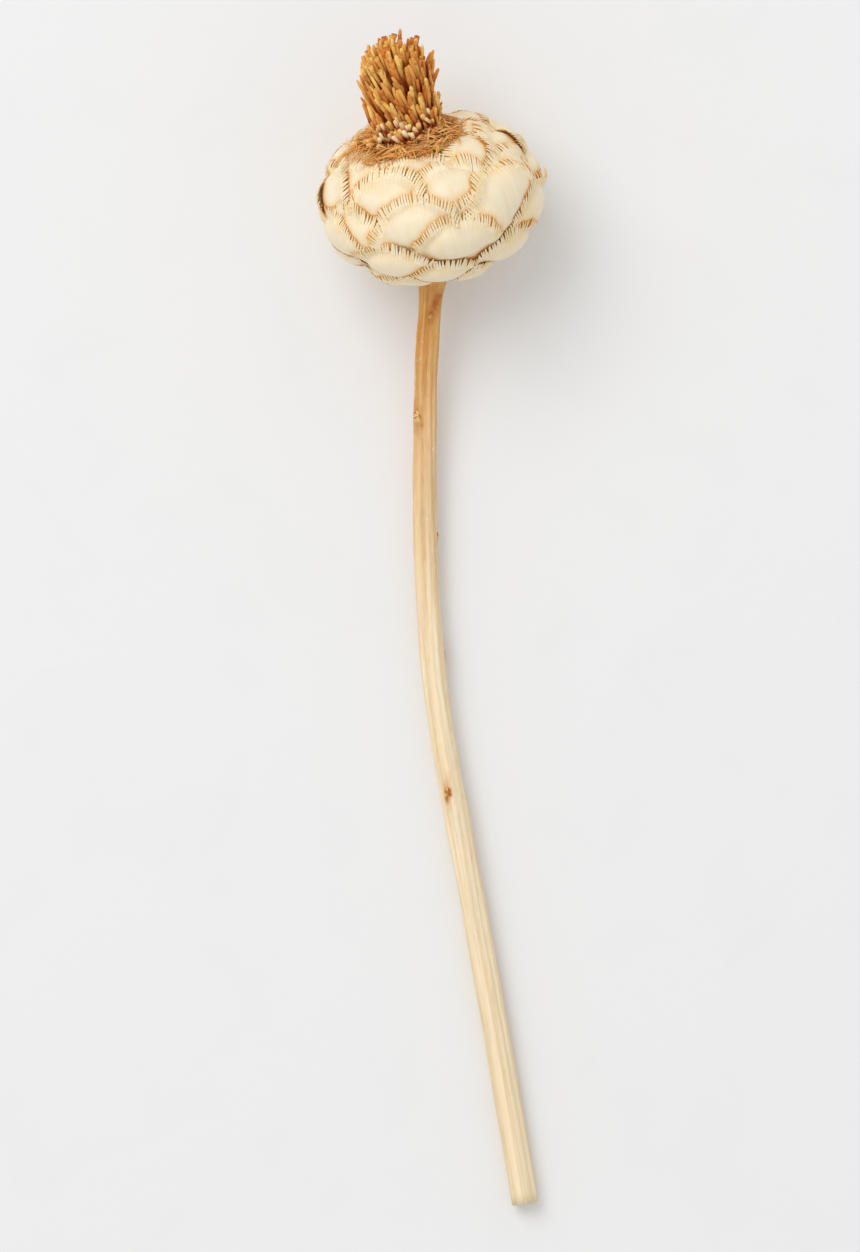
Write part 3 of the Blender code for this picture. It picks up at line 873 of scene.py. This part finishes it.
def add_floret(whole, rod, root, tip, sag, turn, tone, pale, draw):
    """Adds one floret to the brush, its flat side turned away from the axis."""
    up = Vector((math.cos(turn), math.sin(turn), 0.01))
    flatness = draw.uniform(*FLATNESS_RANGE)
    width = FLORET_RADIUS * draw.uniform(*WIDTH_RANGE)
    one = bent(rod, root, (root + tip) / 2 + sag, tip, up, width, flatness)
    add_to_brush(whole, one, tone=tone, pale=pale)


def grow_florets():
    """The florets of the spiral, from the foot of the brush to its top."""
    draw = random.Random(FLORET_SEED)
    whole = bmesh.new()
    for index in range(FLORET_COUNT):
        share = (index + 0.5) / FLORET_COUNT
        turn = index * GOLDEN_ANGLE + draw.uniform(-0.1, 0.1)
        root, tip = floret_line(share, turn, draw)
        sag = Vector((draw.uniform(-1, 1), draw.uniform(-1, 1), 0)) * 0.05 * (tip - root).length
        pale = draw.random() * (1 - smooth_step(0.02, 0.2, share)) * max(0, math.cos(turn + math.pi / 2))
        opened = share > SIDE_SHARE and draw.random() < OPEN_SHARE
        rod = open_rod if opened else floret_rod
        add_floret(whole, rod, root, tip, sag, turn, draw.random(), pale, draw)
    return whole


# %% Find the ball's surface beside the brush
def on_ball(turn, distance, lift):
    """A point this far from the brush's axis, lifted off the bracts, in the brush's frame."""
    aside = facing(turn) * distance
    above = BRUSH @ (aside + Vector((0, 0, 40 * MM)))
    hit, normal, _, _ = BALL_SURFACE.ray_cast(above, Vector((0, 0, -1)), 50 * MM)
    if hit is None:
        hit, normal = core_point(BRUSH @ (aside + Vector((0, 0, CORE_HALF_HEIGHT))))
    return BRUSH.inverted() @ (hit + normal * lift)


# %% Bend the lowest florets out over the bracts, and stand pale ones in front
FOOT_FLORETS = 90
FOOT_LIFTS = (0.3, 2.6)
FOOT_TIPS = (6.8, 8.4)
FOOT_ROOT = 4.6
FRONT_FLORETS = 26
FRONT_HEIGHTS = (0.6, 6.2)
FRONT_TIPS = (7.9, 8.7)
FRONT_LENGTHS = (2.4, 3.4)
PALE_SIDE = math.radians(-90)
FOOT_SEED = 21


def grow_foot(whole):
    """Adds florets that splay out round the foot, and short upright ones at the front."""
    draw = random.Random(FOOT_SEED)
    for index in range(FOOT_FLORETS):
        turn = index * GOLDEN_ANGLE + draw.uniform(-0.2, 0.2)
        lift = draw.uniform(*FOOT_LIFTS) * MM
        tip = on_ball(turn, draw.uniform(*FOOT_TIPS) * MM, lift)
        swept = turn + FLORET_SWIRL * draw.uniform(0, 0.5)
        root = facing(swept) * FOOT_ROOT * MM
        root.z = tip.z - draw.uniform(0.5, 2.0) * MM
        pale = 0.7 * draw.random() * smooth_step(0.2, 0.9, math.cos(turn - PALE_SIDE))
        add_floret(whole, floret_rod, root, tip, Vector((0, 0, 0.2 * MM)), turn, draw.random(), pale, draw)
    for _ in range(FRONT_FLORETS):
        turn = PALE_SIDE + draw.gauss(-0.1, 0.36)
        height = BRUSH_FOOT_Z + draw.uniform(*FRONT_HEIGHTS) * MM
        radius = draw.uniform(*FRONT_TIPS) * MM - 0.1 * (height - BRUSH_FOOT_Z)
        tip = Vector((math.cos(turn) * radius, math.sin(turn) * radius, height))
        swept = turn + draw.gauss(0.08, 0.16)
        root = facing(swept) * (radius - draw.uniform(0.2, 0.9) * MM)
        root.z = height - draw.uniform(*FRONT_LENGTHS) * MM
        pale = 1 - draw.random() ** 1.6
        add_floret(whole, floret_rod, root, tip, Vector((0, 0, 0)), turn, draw.random(), pale, draw)


# %% [markdown]
# The florets are golden brown, no two have quite the same shade, and those in front are bleached
# towards the tip. Towards the root they are painted dark brown, as painted shade where the rods
# crowd together. Each could have a material of its own, but that would make hundreds of them. One
# serves them all: it reads three values that the mesh carries, how far along the rod a point lies,
# the rod's own tone, and how pale it is.

# %% The material of the florets
def floret_look():
    look, tree = new_look("golden_floret")
    reach = attribute(tree, "reach")
    tone = attribute(tree, "tone")
    lines = effect(tree, DRY_FIBRES, Across=3.2, Along=1.4, Seed=tone)
    stain = effect(tree, STAINS, Size=500.0, Cover=0.5)
    body = mixed(tree, tone, colour(216, 102, 2), colour(255, 208, 110))
    body = tinted(tree, body, lines, 0.36, colour(255, 224, 142))
    body = tinted(tree, body, stain, 0.6, colour(158, 72, 2))
    # Towards the root the colour falls to dark brown: painted shade between the crowded rods.
    root = mixed(tree, ranged(tree, reach, 0.4, 0.9), colour(140, 48, 0), body)
    pale = reckoned(tree, "MULTIPLY", attribute(tree, "pale"), ranged(tree, reach, 0.4, 0.9))
    base = mixed(tree, pale, root, colour(255, 238, 190))
    finish_look(tree, base, 0.5, lines, 0.02 * MM)
    tree.nodes["Principled BSDF"].inputs["Specular IOR Level"].default_value = 0.12
    return look


FLORET_LOOK = floret_look()
all_florets = grow_florets()
grow_foot(all_florets)
piece_from(all_florets, "florets", FLORET_LOOK, ["floret_brush"])

# %% [markdown]
# Between the florets one sees down into a dark brown inside, where they stand too close to tell
# apart. Hundreds more rods could fill it, all of them hidden. A plain solid, turned from a profile
# as on a lathe, does the same, and its dark brown is painted shade.

# %% The dark heart of the brush, turned from a profile
BRUSH_HEART = ((6.6, 13.0), (5.6, 15.0), (5.2, 24.0), (3.8, 28.5), (1.6, 30.4))
BRUSH_HEART_SIDES = 32


def turned(profile, sides):
    """A solid of revolution round Z, through these (radius, height) points and closed to the axis."""
    bm = bmesh.new()
    ends = [(0, profile[0][1]), *profile, (0, profile[-1][1])]
    line = [bm.verts.new((radius * MM, 0, height * MM)) for radius, height in ends]
    edges = [bm.edges.new(pair) for pair in zip(line, line[1:])]
    bmesh.ops.spin(
        bm,
        geom=line + edges,
        cent=(0, 0, 0),
        axis=(0, 0, 1),
        angle=2 * math.pi,
        steps=sides,
        use_merge=True,
    )
    bmesh.ops.remove_doubles(bm, verts=bm.verts, dist=0.001 * MM)
    bmesh.ops.recalc_face_normals(bm, faces=bm.faces)
    if bm.calc_volume(signed=True) < 0:
        bmesh.ops.reverse_faces(bm, faces=bm.faces)
    return bm


shaded_brush_heart = turned(BRUSH_HEART, BRUSH_HEART_SIDES)
bmesh.ops.transform(shaded_brush_heart, matrix=HEAD @ BRUSH, verts=shaded_brush_heart.verts)
# The solid's dark browns are painted shade, for the dimness deep between the florets.
brush_shade_look = stained_look("shaded_brush_heart", 600.0, 0.6, colour(130, 58, 6), colour(92, 36, 2), 0.85, 0.2 * MM)
piece_from(shaded_brush_heart, "shaded_brush_heart", brush_shade_look)

# %% [markdown]
# ## Scraps and fluff round the foot of the brush
#
# Where the brush leaves the ball, the real flower is untidy: flat torn scraps of golden floret lie
# on the uppermost bracts, and fine bristles spread out between them. Modelled one by one they would
# take days. Both are the same bent rod again, once flattened to a ribbon and once drawn out to a
# hair. A ray finds the ball's surface under their ends and their middle, so that they follow the
# bracts. The nearer the brush, the higher some of them are heaped.

# %% Scatter the scraps
SCRAP_COUNT = 420
SCRAP_RINGS = ((0.0, 0.35), (0.2, 0.9), (0.5, 1.0), (0.8, 0.75), (1.0, 0.2))
SCRAP_SPREAD = 0.75
SCRAP_FROM = 7.0
SCRAP_BAND = 5.2
SCRAP_LENGTHS = (1.5, 7.0)
SCRAP_HEAP = 1.9
SCRAP_FLATNESS = 0.35
SCRAP_SEED = 11


def scrap_ribbon():
    """A rod whose reach starts high, so that scraps take the colour of a floret's upper part."""
    ribbon = slim_rod(5, SCRAP_RINGS)
    reach = ribbon.verts.layers.float["reach"]
    for vertex in ribbon.verts:
        vertex[reach] = 0.78 + 0.22 * vertex[reach]
    return ribbon


def scatter_scraps():
    """Shreds that lie every way, thickest in front of the brush and to the right of it."""
    draw = random.Random(SCRAP_SEED)
    ribbon = scrap_ribbon()
    whole = bmesh.new()
    for _ in range(SCRAP_COUNT):
        turn = SHAGGY_SIDE + draw.gauss(0, SCRAP_SPREAD)
        distance = (SCRAP_FROM + SCRAP_BAND * draw.random() ** 1.7) * MM
        length = draw.uniform(*SCRAP_LENGTHS) * MM
        aim = draw.gauss(1.0, 0.8)
        lift = SCRAP_HEAP * MM * (1 - (distance / MM - SCRAP_FROM) / 5.8) * draw.random()
        out = length * math.cos(aim) / 2
        sweep = length * math.sin(aim) / (2 * distance)
        start = on_ball(turn - sweep, max(6.2 * MM, distance - out), lift + 0.2 * MM)
        middle = on_ball(turn, distance, lift + draw.uniform(0.3, 0.9) * MM)
        end = on_ball(turn + sweep, distance + out, lift * draw.uniform(0.3, 1) + 0.15 * MM)
        up = middle.normalized() + Vector((draw.uniform(-1, 1), draw.uniform(-1, 1), 0))
        width = 0.34 * MM * draw.random() ** 1.8 + 0.09 * MM
        one = bent(ribbon, start, middle, end, up, width, SCRAP_FLATNESS)
        add_to_brush(whole, one, tone=0.7 * draw.random(), pale=0.3 * draw.random() ** 3)
    ribbon.free()
    return whole


piece_from(scatter_scraps(), "loose_scraps", FLORET_LOOK)

# %% Spread the bristles
BRISTLE_COUNT = 520
BRISTLE_RINGS = ((0.0, 1.0), (0.35, 0.9), (0.7, 0.6), (1.0, 0.15))
BRISTLE_RADIUS = 0.075 * MM
BRISTLE_FROM = 8
BRISTLE_ROOTS = (6.6, 7.6)
BRISTLE_LENGTHS = (2.0, 6.0)
BRISTLE_SEED = 3


def bristle_look():
    look, tree = new_look("brush_bristle")
    base = mixed(tree, attribute(tree, "tone"), colour(250, 192, 92), colour(224, 134, 24))
    base = tinted(tree, base, attribute(tree, "reach"), 0.4, colour(252, 214, 140))
    finish_look(tree, base, 0.5, effect(tree, STAINS, Size=900.0, Cover=0.5), 0.02 * MM)
    return look


def spread_bristles():
    """Hairs that run out over the bracts on every side."""
    draw = random.Random(BRISTLE_SEED)
    hair = slim_rod(3, BRISTLE_RINGS)
    whole = bmesh.new()
    for _ in range(BRISTLE_COUNT):
        turn = draw.uniform(-math.pi, math.pi)
        out = draw.uniform(*BRISTLE_LENGTHS) * MM
        sweep = draw.gauss(0, 0.22)
        start = on_ball(turn, draw.uniform(*BRISTLE_ROOTS) * MM, 0.1 * MM)
        middle = on_ball(turn + sweep / 2, BRISTLE_FROM * MM + out / 2, draw.uniform(0.4, 1.3) * MM)
        end = on_ball(turn + sweep, BRISTLE_FROM * MM + out, draw.uniform(0.1, 1.2) * MM)
        one = bent(hair, start, middle, end, middle.normalized(), BRISTLE_RADIUS)
        add_to_brush(whole, one, tone=draw.random())
    hair.free()
    return whole


piece_from(spread_bristles(), "brush_bristles", bristle_look())

# %% [markdown]
# ## The stem
#
# The stalk is ribbed from end to end, a little uneven, tan under the head and paler further down,
# with brown scars where leaves grew. A curve with a bevel would give its form, but without uneven
# ribs or a map of its surface. So a flat grid, whose own place is its map, is rolled up round the
# CAD model's own spline, and each point is moved in or out by the ribs and lumps.

# %% The line of the stem
# Places from the ball's middle, and the stem's radius there, in millimetres
STEM_LINE = (
    ((0.2, -17.0, -8.0), 2.3),
    ((-0.7, -27.0, -11.6), 2.4),
    ((-1.3, -40.0, -14.4), 2.4),
    ((-1.4, -62.0, -16.0), 2.5),
    ((-0.6, -84.0, -16.4), 2.5),
    ((1.2, -104.0, -16.5), 2.55),
    ((4.9, -124.0, -16.6), 2.6),
    ((9.8, -150.0, -16.9), 2.65),
    ((15.0, -180.0, -17.4), 2.7),
    ((19.4, -206.0, -17.95), 2.75),
)
NECK_SEAT = Vector((-1.5, 0, -14.9)) * MM
NECK_RADIUS = 4.0 * MM
NECK_LENGTH = 2.0 * MM
NECK_TAPER = 0.85


def stem_points():
    """The spline's control points from the neck to the cut end: each one's place, then its radius."""
    neck = HEAD @ NECK_SEAT
    below = HEAD @ (NECK_SEAT - Vector((0, 0, NECK_LENGTH)))
    line = [(*neck, NECK_RADIUS), (*below, NECK_TAPER * NECK_RADIUS)]
    line += [(*(BALL_CENTRE + Vector(offset) * MM), radius * MM) for offset, radius in STEM_LINE]
    return [Vector(point) for point in line]


STEM_POINTS = stem_points()


def on_stem(share):
    """The stem's middle and radius at this share of its spline, a clamped cubic one."""
    spans = len(STEM_POINTS) - 3
    knots = [0, 0, 0, *range(spans + 1), spans, spans, spans]
    at = min(max(share, 0) * spans, spans - 1e-9)
    first = int(at)
    near = STEM_POINTS[first : first + 4]
    for level in range(1, 4):
        for number in range(3, level - 1, -1):
            low = knots[first + number]
            high = knots[first + number + 4 - level]
            near[number] = near[number - 1].lerp(near[number], (at - low) / (high - low))
    return near[3].xyz, near[3].w


print("the cut end's middle in mm:", [round(part / MM, 1) for part in on_stem(1)[0]])

# %% A point on the ribbed surface of the stem
STEM_RIBS = 11
RIB_DEPTH = 0.09
UNEVEN = 0.06
ROUGH = 0.03


def stem_frame(share):
    """The stem's middle and radius here, and its axes to the right, up from the surface and ahead."""
    middle, radius = on_stem(share)
    ahead = (on_stem(share + 0.003)[0] - on_stem(share - 0.003)[0]).normalized()
    left = ahead.cross(Vector((0, 0, 1))).normalized()
    return middle, radius, -left, left.cross(ahead), ahead


def stem_surface(turn, share, lift=0.0):
    """A point on the stem. Turn runs round from underneath, through the right side seen from above."""
    middle, radius, right, up, _ = stem_frame(share)
    side = math.sin(turn) * right - math.cos(turn) * up
    wander = 0.5 * noise.noise(Vector((5 * share, 3, 1)))
    rib = 1 - RIB_DEPTH * (0.5 + 0.5 * math.cos(STEM_RIBS * (turn + wander)))
    lump = UNEVEN * noise.noise(Vector((1.3 * math.cos(turn), 1.3 * math.sin(turn), 24 * share)))
    knob = ROUGH * noise.noise(Vector((3 * math.cos(turn), 3 * math.sin(turn), 110 * share)))
    point = middle + side * (radius * (rib + lump + knob) + lift)
    return Vector((point.x, point.y, max(0, point.z)))


# %% Where leaves grew
# How far along the spline, at what turn in degrees from underneath, and how large
LEAF_SCARS = (
    (0.176, 172, 0.6),
    (0.350, 226, 1.0),
    (0.480, 75, 0.7),
    (0.610, 60, 1.1),
    (0.760, 205, 0.8),
)
BROWN_STREAK = (0.13, 128)


def scar_middle(share, turn):
    return stem_surface(math.radians(turn), share)


print("scars at mm:", [[round(part / MM) for part in scar_middle(*scar[:2])] for scar in LEAF_SCARS])

# %% Roll a flat grid up into the stalk
STEM_SIDES = 88
STEM_ROWS = 260
SCAR_STAIN = 2.0 * MM
STREAK_STAIN = 2.6 * MM


def nearness(point, middle, reach):
    """1 at the middle of a stain drawn out along the stem, falling to 0 at this reach beside it."""
    gap = point - middle
    ragged = 1 + 0.5 * noise.noise(point * 700)
    return 1 - smooth_step(0.25, 1, math.hypot(gap.x, gap.z, 0.36 * gap.y) / (reach * ragged))


def roll_stalk():
    """The stalk, open at both ends, with how far along and how scarred it is at every point."""
    bm = bmesh.new()
    bmesh.ops.create_grid(bm, x_segments=STEM_SIDES, y_segments=STEM_ROWS, size=0.5)
    flow = bm.loops.layers.uv.new("flow")
    along = bm.verts.layers.float.new("along")
    scarred = bm.verts.layers.float.new("scarred")
    for face in bm.faces:
        for loop in face.loops:
            loop[flow].uv = loop.vert.co.xy + Vector((0.5, 0.5))
    stains = [(scar_middle(share, turn), SCAR_STAIN * size) for share, turn, size in LEAF_SCARS]
    stains.append((scar_middle(*BROWN_STREAK), STREAK_STAIN))
    for vertex in bm.verts:
        around, share = vertex.co.xy + Vector((0.5, 0.5))
        vertex.co = stem_surface(2 * math.pi * around, share)
        vertex[along] = share
        vertex[scarred] = max(nearness(vertex.co, middle, reach) for middle, reach in stains)
    bmesh.ops.remove_doubles(bm, verts=bm.verts, dist=0.002 * MM)
    return bm


# %% Close the neck, and cut the other end square with a sunk pith
# Each ring's share of the radius, how many millimetres it is sunk, and how much of it is pith
CUT_RINGS = ((0.92, 0.0, 0.0), (0.6, 0.1, 0.4), (0.5, 0.6, 1.0), (0.25, 0.7, 1.0))


def close_ends(bm):
    """Fills the neck, and draws rings in at the cut end: a rim, a woody ring and the hollow pith."""
    pith = bm.verts.layers.float.new("pith")
    middle, _, _, _, ahead = stem_frame(1)
    open_edges = [edge for edge in bm.edges if edge.is_boundary]
    rim = [edge for edge in open_edges if edge.verts[0].co.y < middle.y + 5 * MM]
    neck = [edge for edge in open_edges if edge.verts[0].co.y > middle.y + 5 * MM]
    bmesh.ops.edgeloop_fill(bm, edges=neck)
    reach = 1.0
    for nearer, sunk, core in CUT_RINGS:
        grown = bmesh.ops.extrude_edge_only(bm, edges=rim)["geom"]
        rim = [item for item in grown if isinstance(item, bmesh.types.BMEdge) and item.is_boundary]
        for vertex in {vertex for edge in rim for vertex in edge.verts}:
            depth = (vertex.co - middle).dot(ahead)
            inwards = vertex.co - middle - ahead * depth
            vertex.co = middle + inwards * (nearer / reach) - ahead * sunk * MM
            vertex[pith] = core
        reach = nearer
    bmesh.ops.edgeloop_fill(bm, edges=rim)
    bmesh.ops.recalc_face_normals(bm, faces=bm.faces)
    if bm.calc_volume(signed=True) < 0:
        bmesh.ops.reverse_faces(bm, faces=bm.faces)
    return bm


# %% The material of the stalk
def stalk_look():
    look, tree = new_look("bleached_stem")
    fine = effect(tree, DRY_FIBRES, Across=75.0, Along=26.0)
    broad = effect(tree, DRY_FIBRES, Across=16.0, Along=2.5, Seed=7.0)
    flecks = effect(tree, STAINS, Size=700.0, Cover=0.25)
    stain = effect(tree, DRY_FIBRES, Across=6.0, Along=9.0, Seed=3.0)
    mottle = effect(tree, STAINS, Size=330.0, Cover=0.5)
    age = ranged(tree, attribute(tree, "along"), 0.18, 0.66)
    dark = mixed(tree, age, colour(230, 164, 78), colour(250, 230, 192))
    light = mixed(tree, age, colour(248, 202, 126), colour(255, 242, 214))
    base = mixed(tree, broad, dark, light)
    streak = mixed(tree, age, colour(196, 128, 52), colour(240, 206, 150))
    base = tinted(tree, base, fine, 0.45, streak)
    base = tinted(tree, base, stain, 0.4, streak)
    base = tinted(tree, base, mottle, 0.35, dark)
    base = tinted(tree, base, flecks, 0.6, colour(255, 247, 230))
    patchy = reckoned(tree, "ADD", mottle, 0.45)
    base = tinted(tree, base, attribute(tree, "scarred"), patchy, colour(194, 112, 36))
    base = mixed(tree, attribute(tree, "pith"), base, colour(232, 214, 180))
    finish_look(tree, base, 0.6, reckoned(tree, "ADD", fine, broad), 0.12 * MM)
    return look


piece_from(close_ends(roll_stalk()), "stalk", stalk_look(), ["stem"])

# %% [markdown]
# Each scar is a low blister with a torn tip that points to the head. It could be sculpted into the
# stalk, but that needs a much finer mesh all along. The bent rod serves once more: it starts under
# the stem's surface and comes out at its torn tip, and only its back rises above the ribs.

# %% Set the leaf scars on the stalk
SCAR_RINGS = ((0.0, 0.3), (0.15, 0.75), (0.4, 1.0), (0.65, 0.85), (0.85, 0.6), (1.0, 0.35))
SCAR_RADIUS = 0.95
SCAR_FLATNESS = 0.8
SCAR_GRAIN = 0.12
GRAIN_PLACES = (Vector((9, -2, -8)), Vector((0, 0, 0)), Vector((-8, 5, 3)))


def grain(point):
    """A small push in every direction. noise_vector gives one too, but not the same in each run."""
    return Vector([noise.noise(point * 900 + place) for place in GRAIN_PLACES])


def set_scars():
    """A roughened blister for each scar."""
    rod = slim_rod(12, SCAR_RINGS)
    whole = bmesh.new()
    for share, turn, size in LEAF_SCARS:
        turned_by = math.radians(turn)
        start = stem_surface(turned_by, share + 0.008 * size, -0.9 * MM)
        middle = stem_surface(turned_by, share, -0.15 * MM)
        end = stem_surface(turned_by, share - 0.009 * size, 0.0)
        up = middle - stem_frame(share)[0]
        one = bent(rod, start, middle, end, up, SCAR_RADIUS * size * MM, SCAR_FLATNESS)
        for vertex in one.verts:
            vertex.co += grain(vertex.co) * SCAR_GRAIN * MM
        add_copy(whole, one)
        one.free()
    rod.free()
    return whole


scar_look = stained_look("leaf_scar", 900.0, 0.6, colour(238, 194, 128), colour(178, 104, 36), 0.7, 0.1 * MM)
piece_from(set_scars(), "leaf_scars", scar_look)

# %% [markdown]
# ## Floor, light and camera
#
# The photograph shows the flower before a plain pale ground, in soft light without hard shadows.
# Several lamps round it could soften each other's shadows, but a bright even sky does that by
# itself, and a wide floor gives the ground. One large soft lamp from the upper left adds the gentle
# shading of the pillows and ribs. The camera looks straight down on the lying flower, through a
# long lens, as from some way off.

# %% Lay a floor under the flower
FLOOR_HALF_SIDE = 3
FLOOR_GREY = (0.86, 0.86, 0.86, 1)
FLOOR_DARKER = (0.85, 0.85, 0.85, 1)

floor_look = stained_look("pale_floor", 60.0, 0.5, FLOOR_GREY, FLOOR_DARKER, 0.9, 0.01 * MM)
floor_shape = bmesh.new()
bmesh.ops.create_grid(floor_shape, x_segments=1, y_segments=1, size=FLOOR_HALF_SIDE)
floor = object_from(floor_shape, "floor", floor_look)

# %% Light it softly
SKY_STRENGTH = 0.7
LAMP_POWER = 18.0
LAMP_SIZE = 1.4
LAMP_PLACE = Vector((-0.8, 0.9, 1.7))

bpy.context.scene.view_settings.view_transform = "Standard"
sky = bpy.data.worlds.new("soft_sky")
sky.use_nodes = True
sky.node_tree.nodes["Background"].inputs["Color"].default_value = (1.0, 1.0, 1.0, 1)
sky.node_tree.nodes["Background"].inputs["Strength"].default_value = SKY_STRENGTH
bpy.context.scene.world = sky

lamp_data = bpy.data.lights.new("soft_lamp", "AREA")
lamp_data.energy = LAMP_POWER
lamp_data.size = LAMP_SIZE
lamp = bpy.data.objects.new("soft_lamp", lamp_data)
lamp.location = LAMP_PLACE
lamp.rotation_euler = LAMP_PLACE.to_track_quat("Z", "Y").to_euler()
bpy.context.scene.collection.objects.link(lamp)
print("lamp at", [round(part, 2) for part in lamp.location])

# %% Look straight down
CAMERA_HEIGHT = 1.6
CAMERA_LENS = 223.0

camera_data = bpy.data.cameras.new("camera")
camera_data.lens = CAMERA_LENS
camera = bpy.data.objects.new("camera", camera_data)
camera.location = (0, 0, CAMERA_HEIGHT)
bpy.context.scene.collection.objects.link(camera)
bpy.context.scene.camera = camera
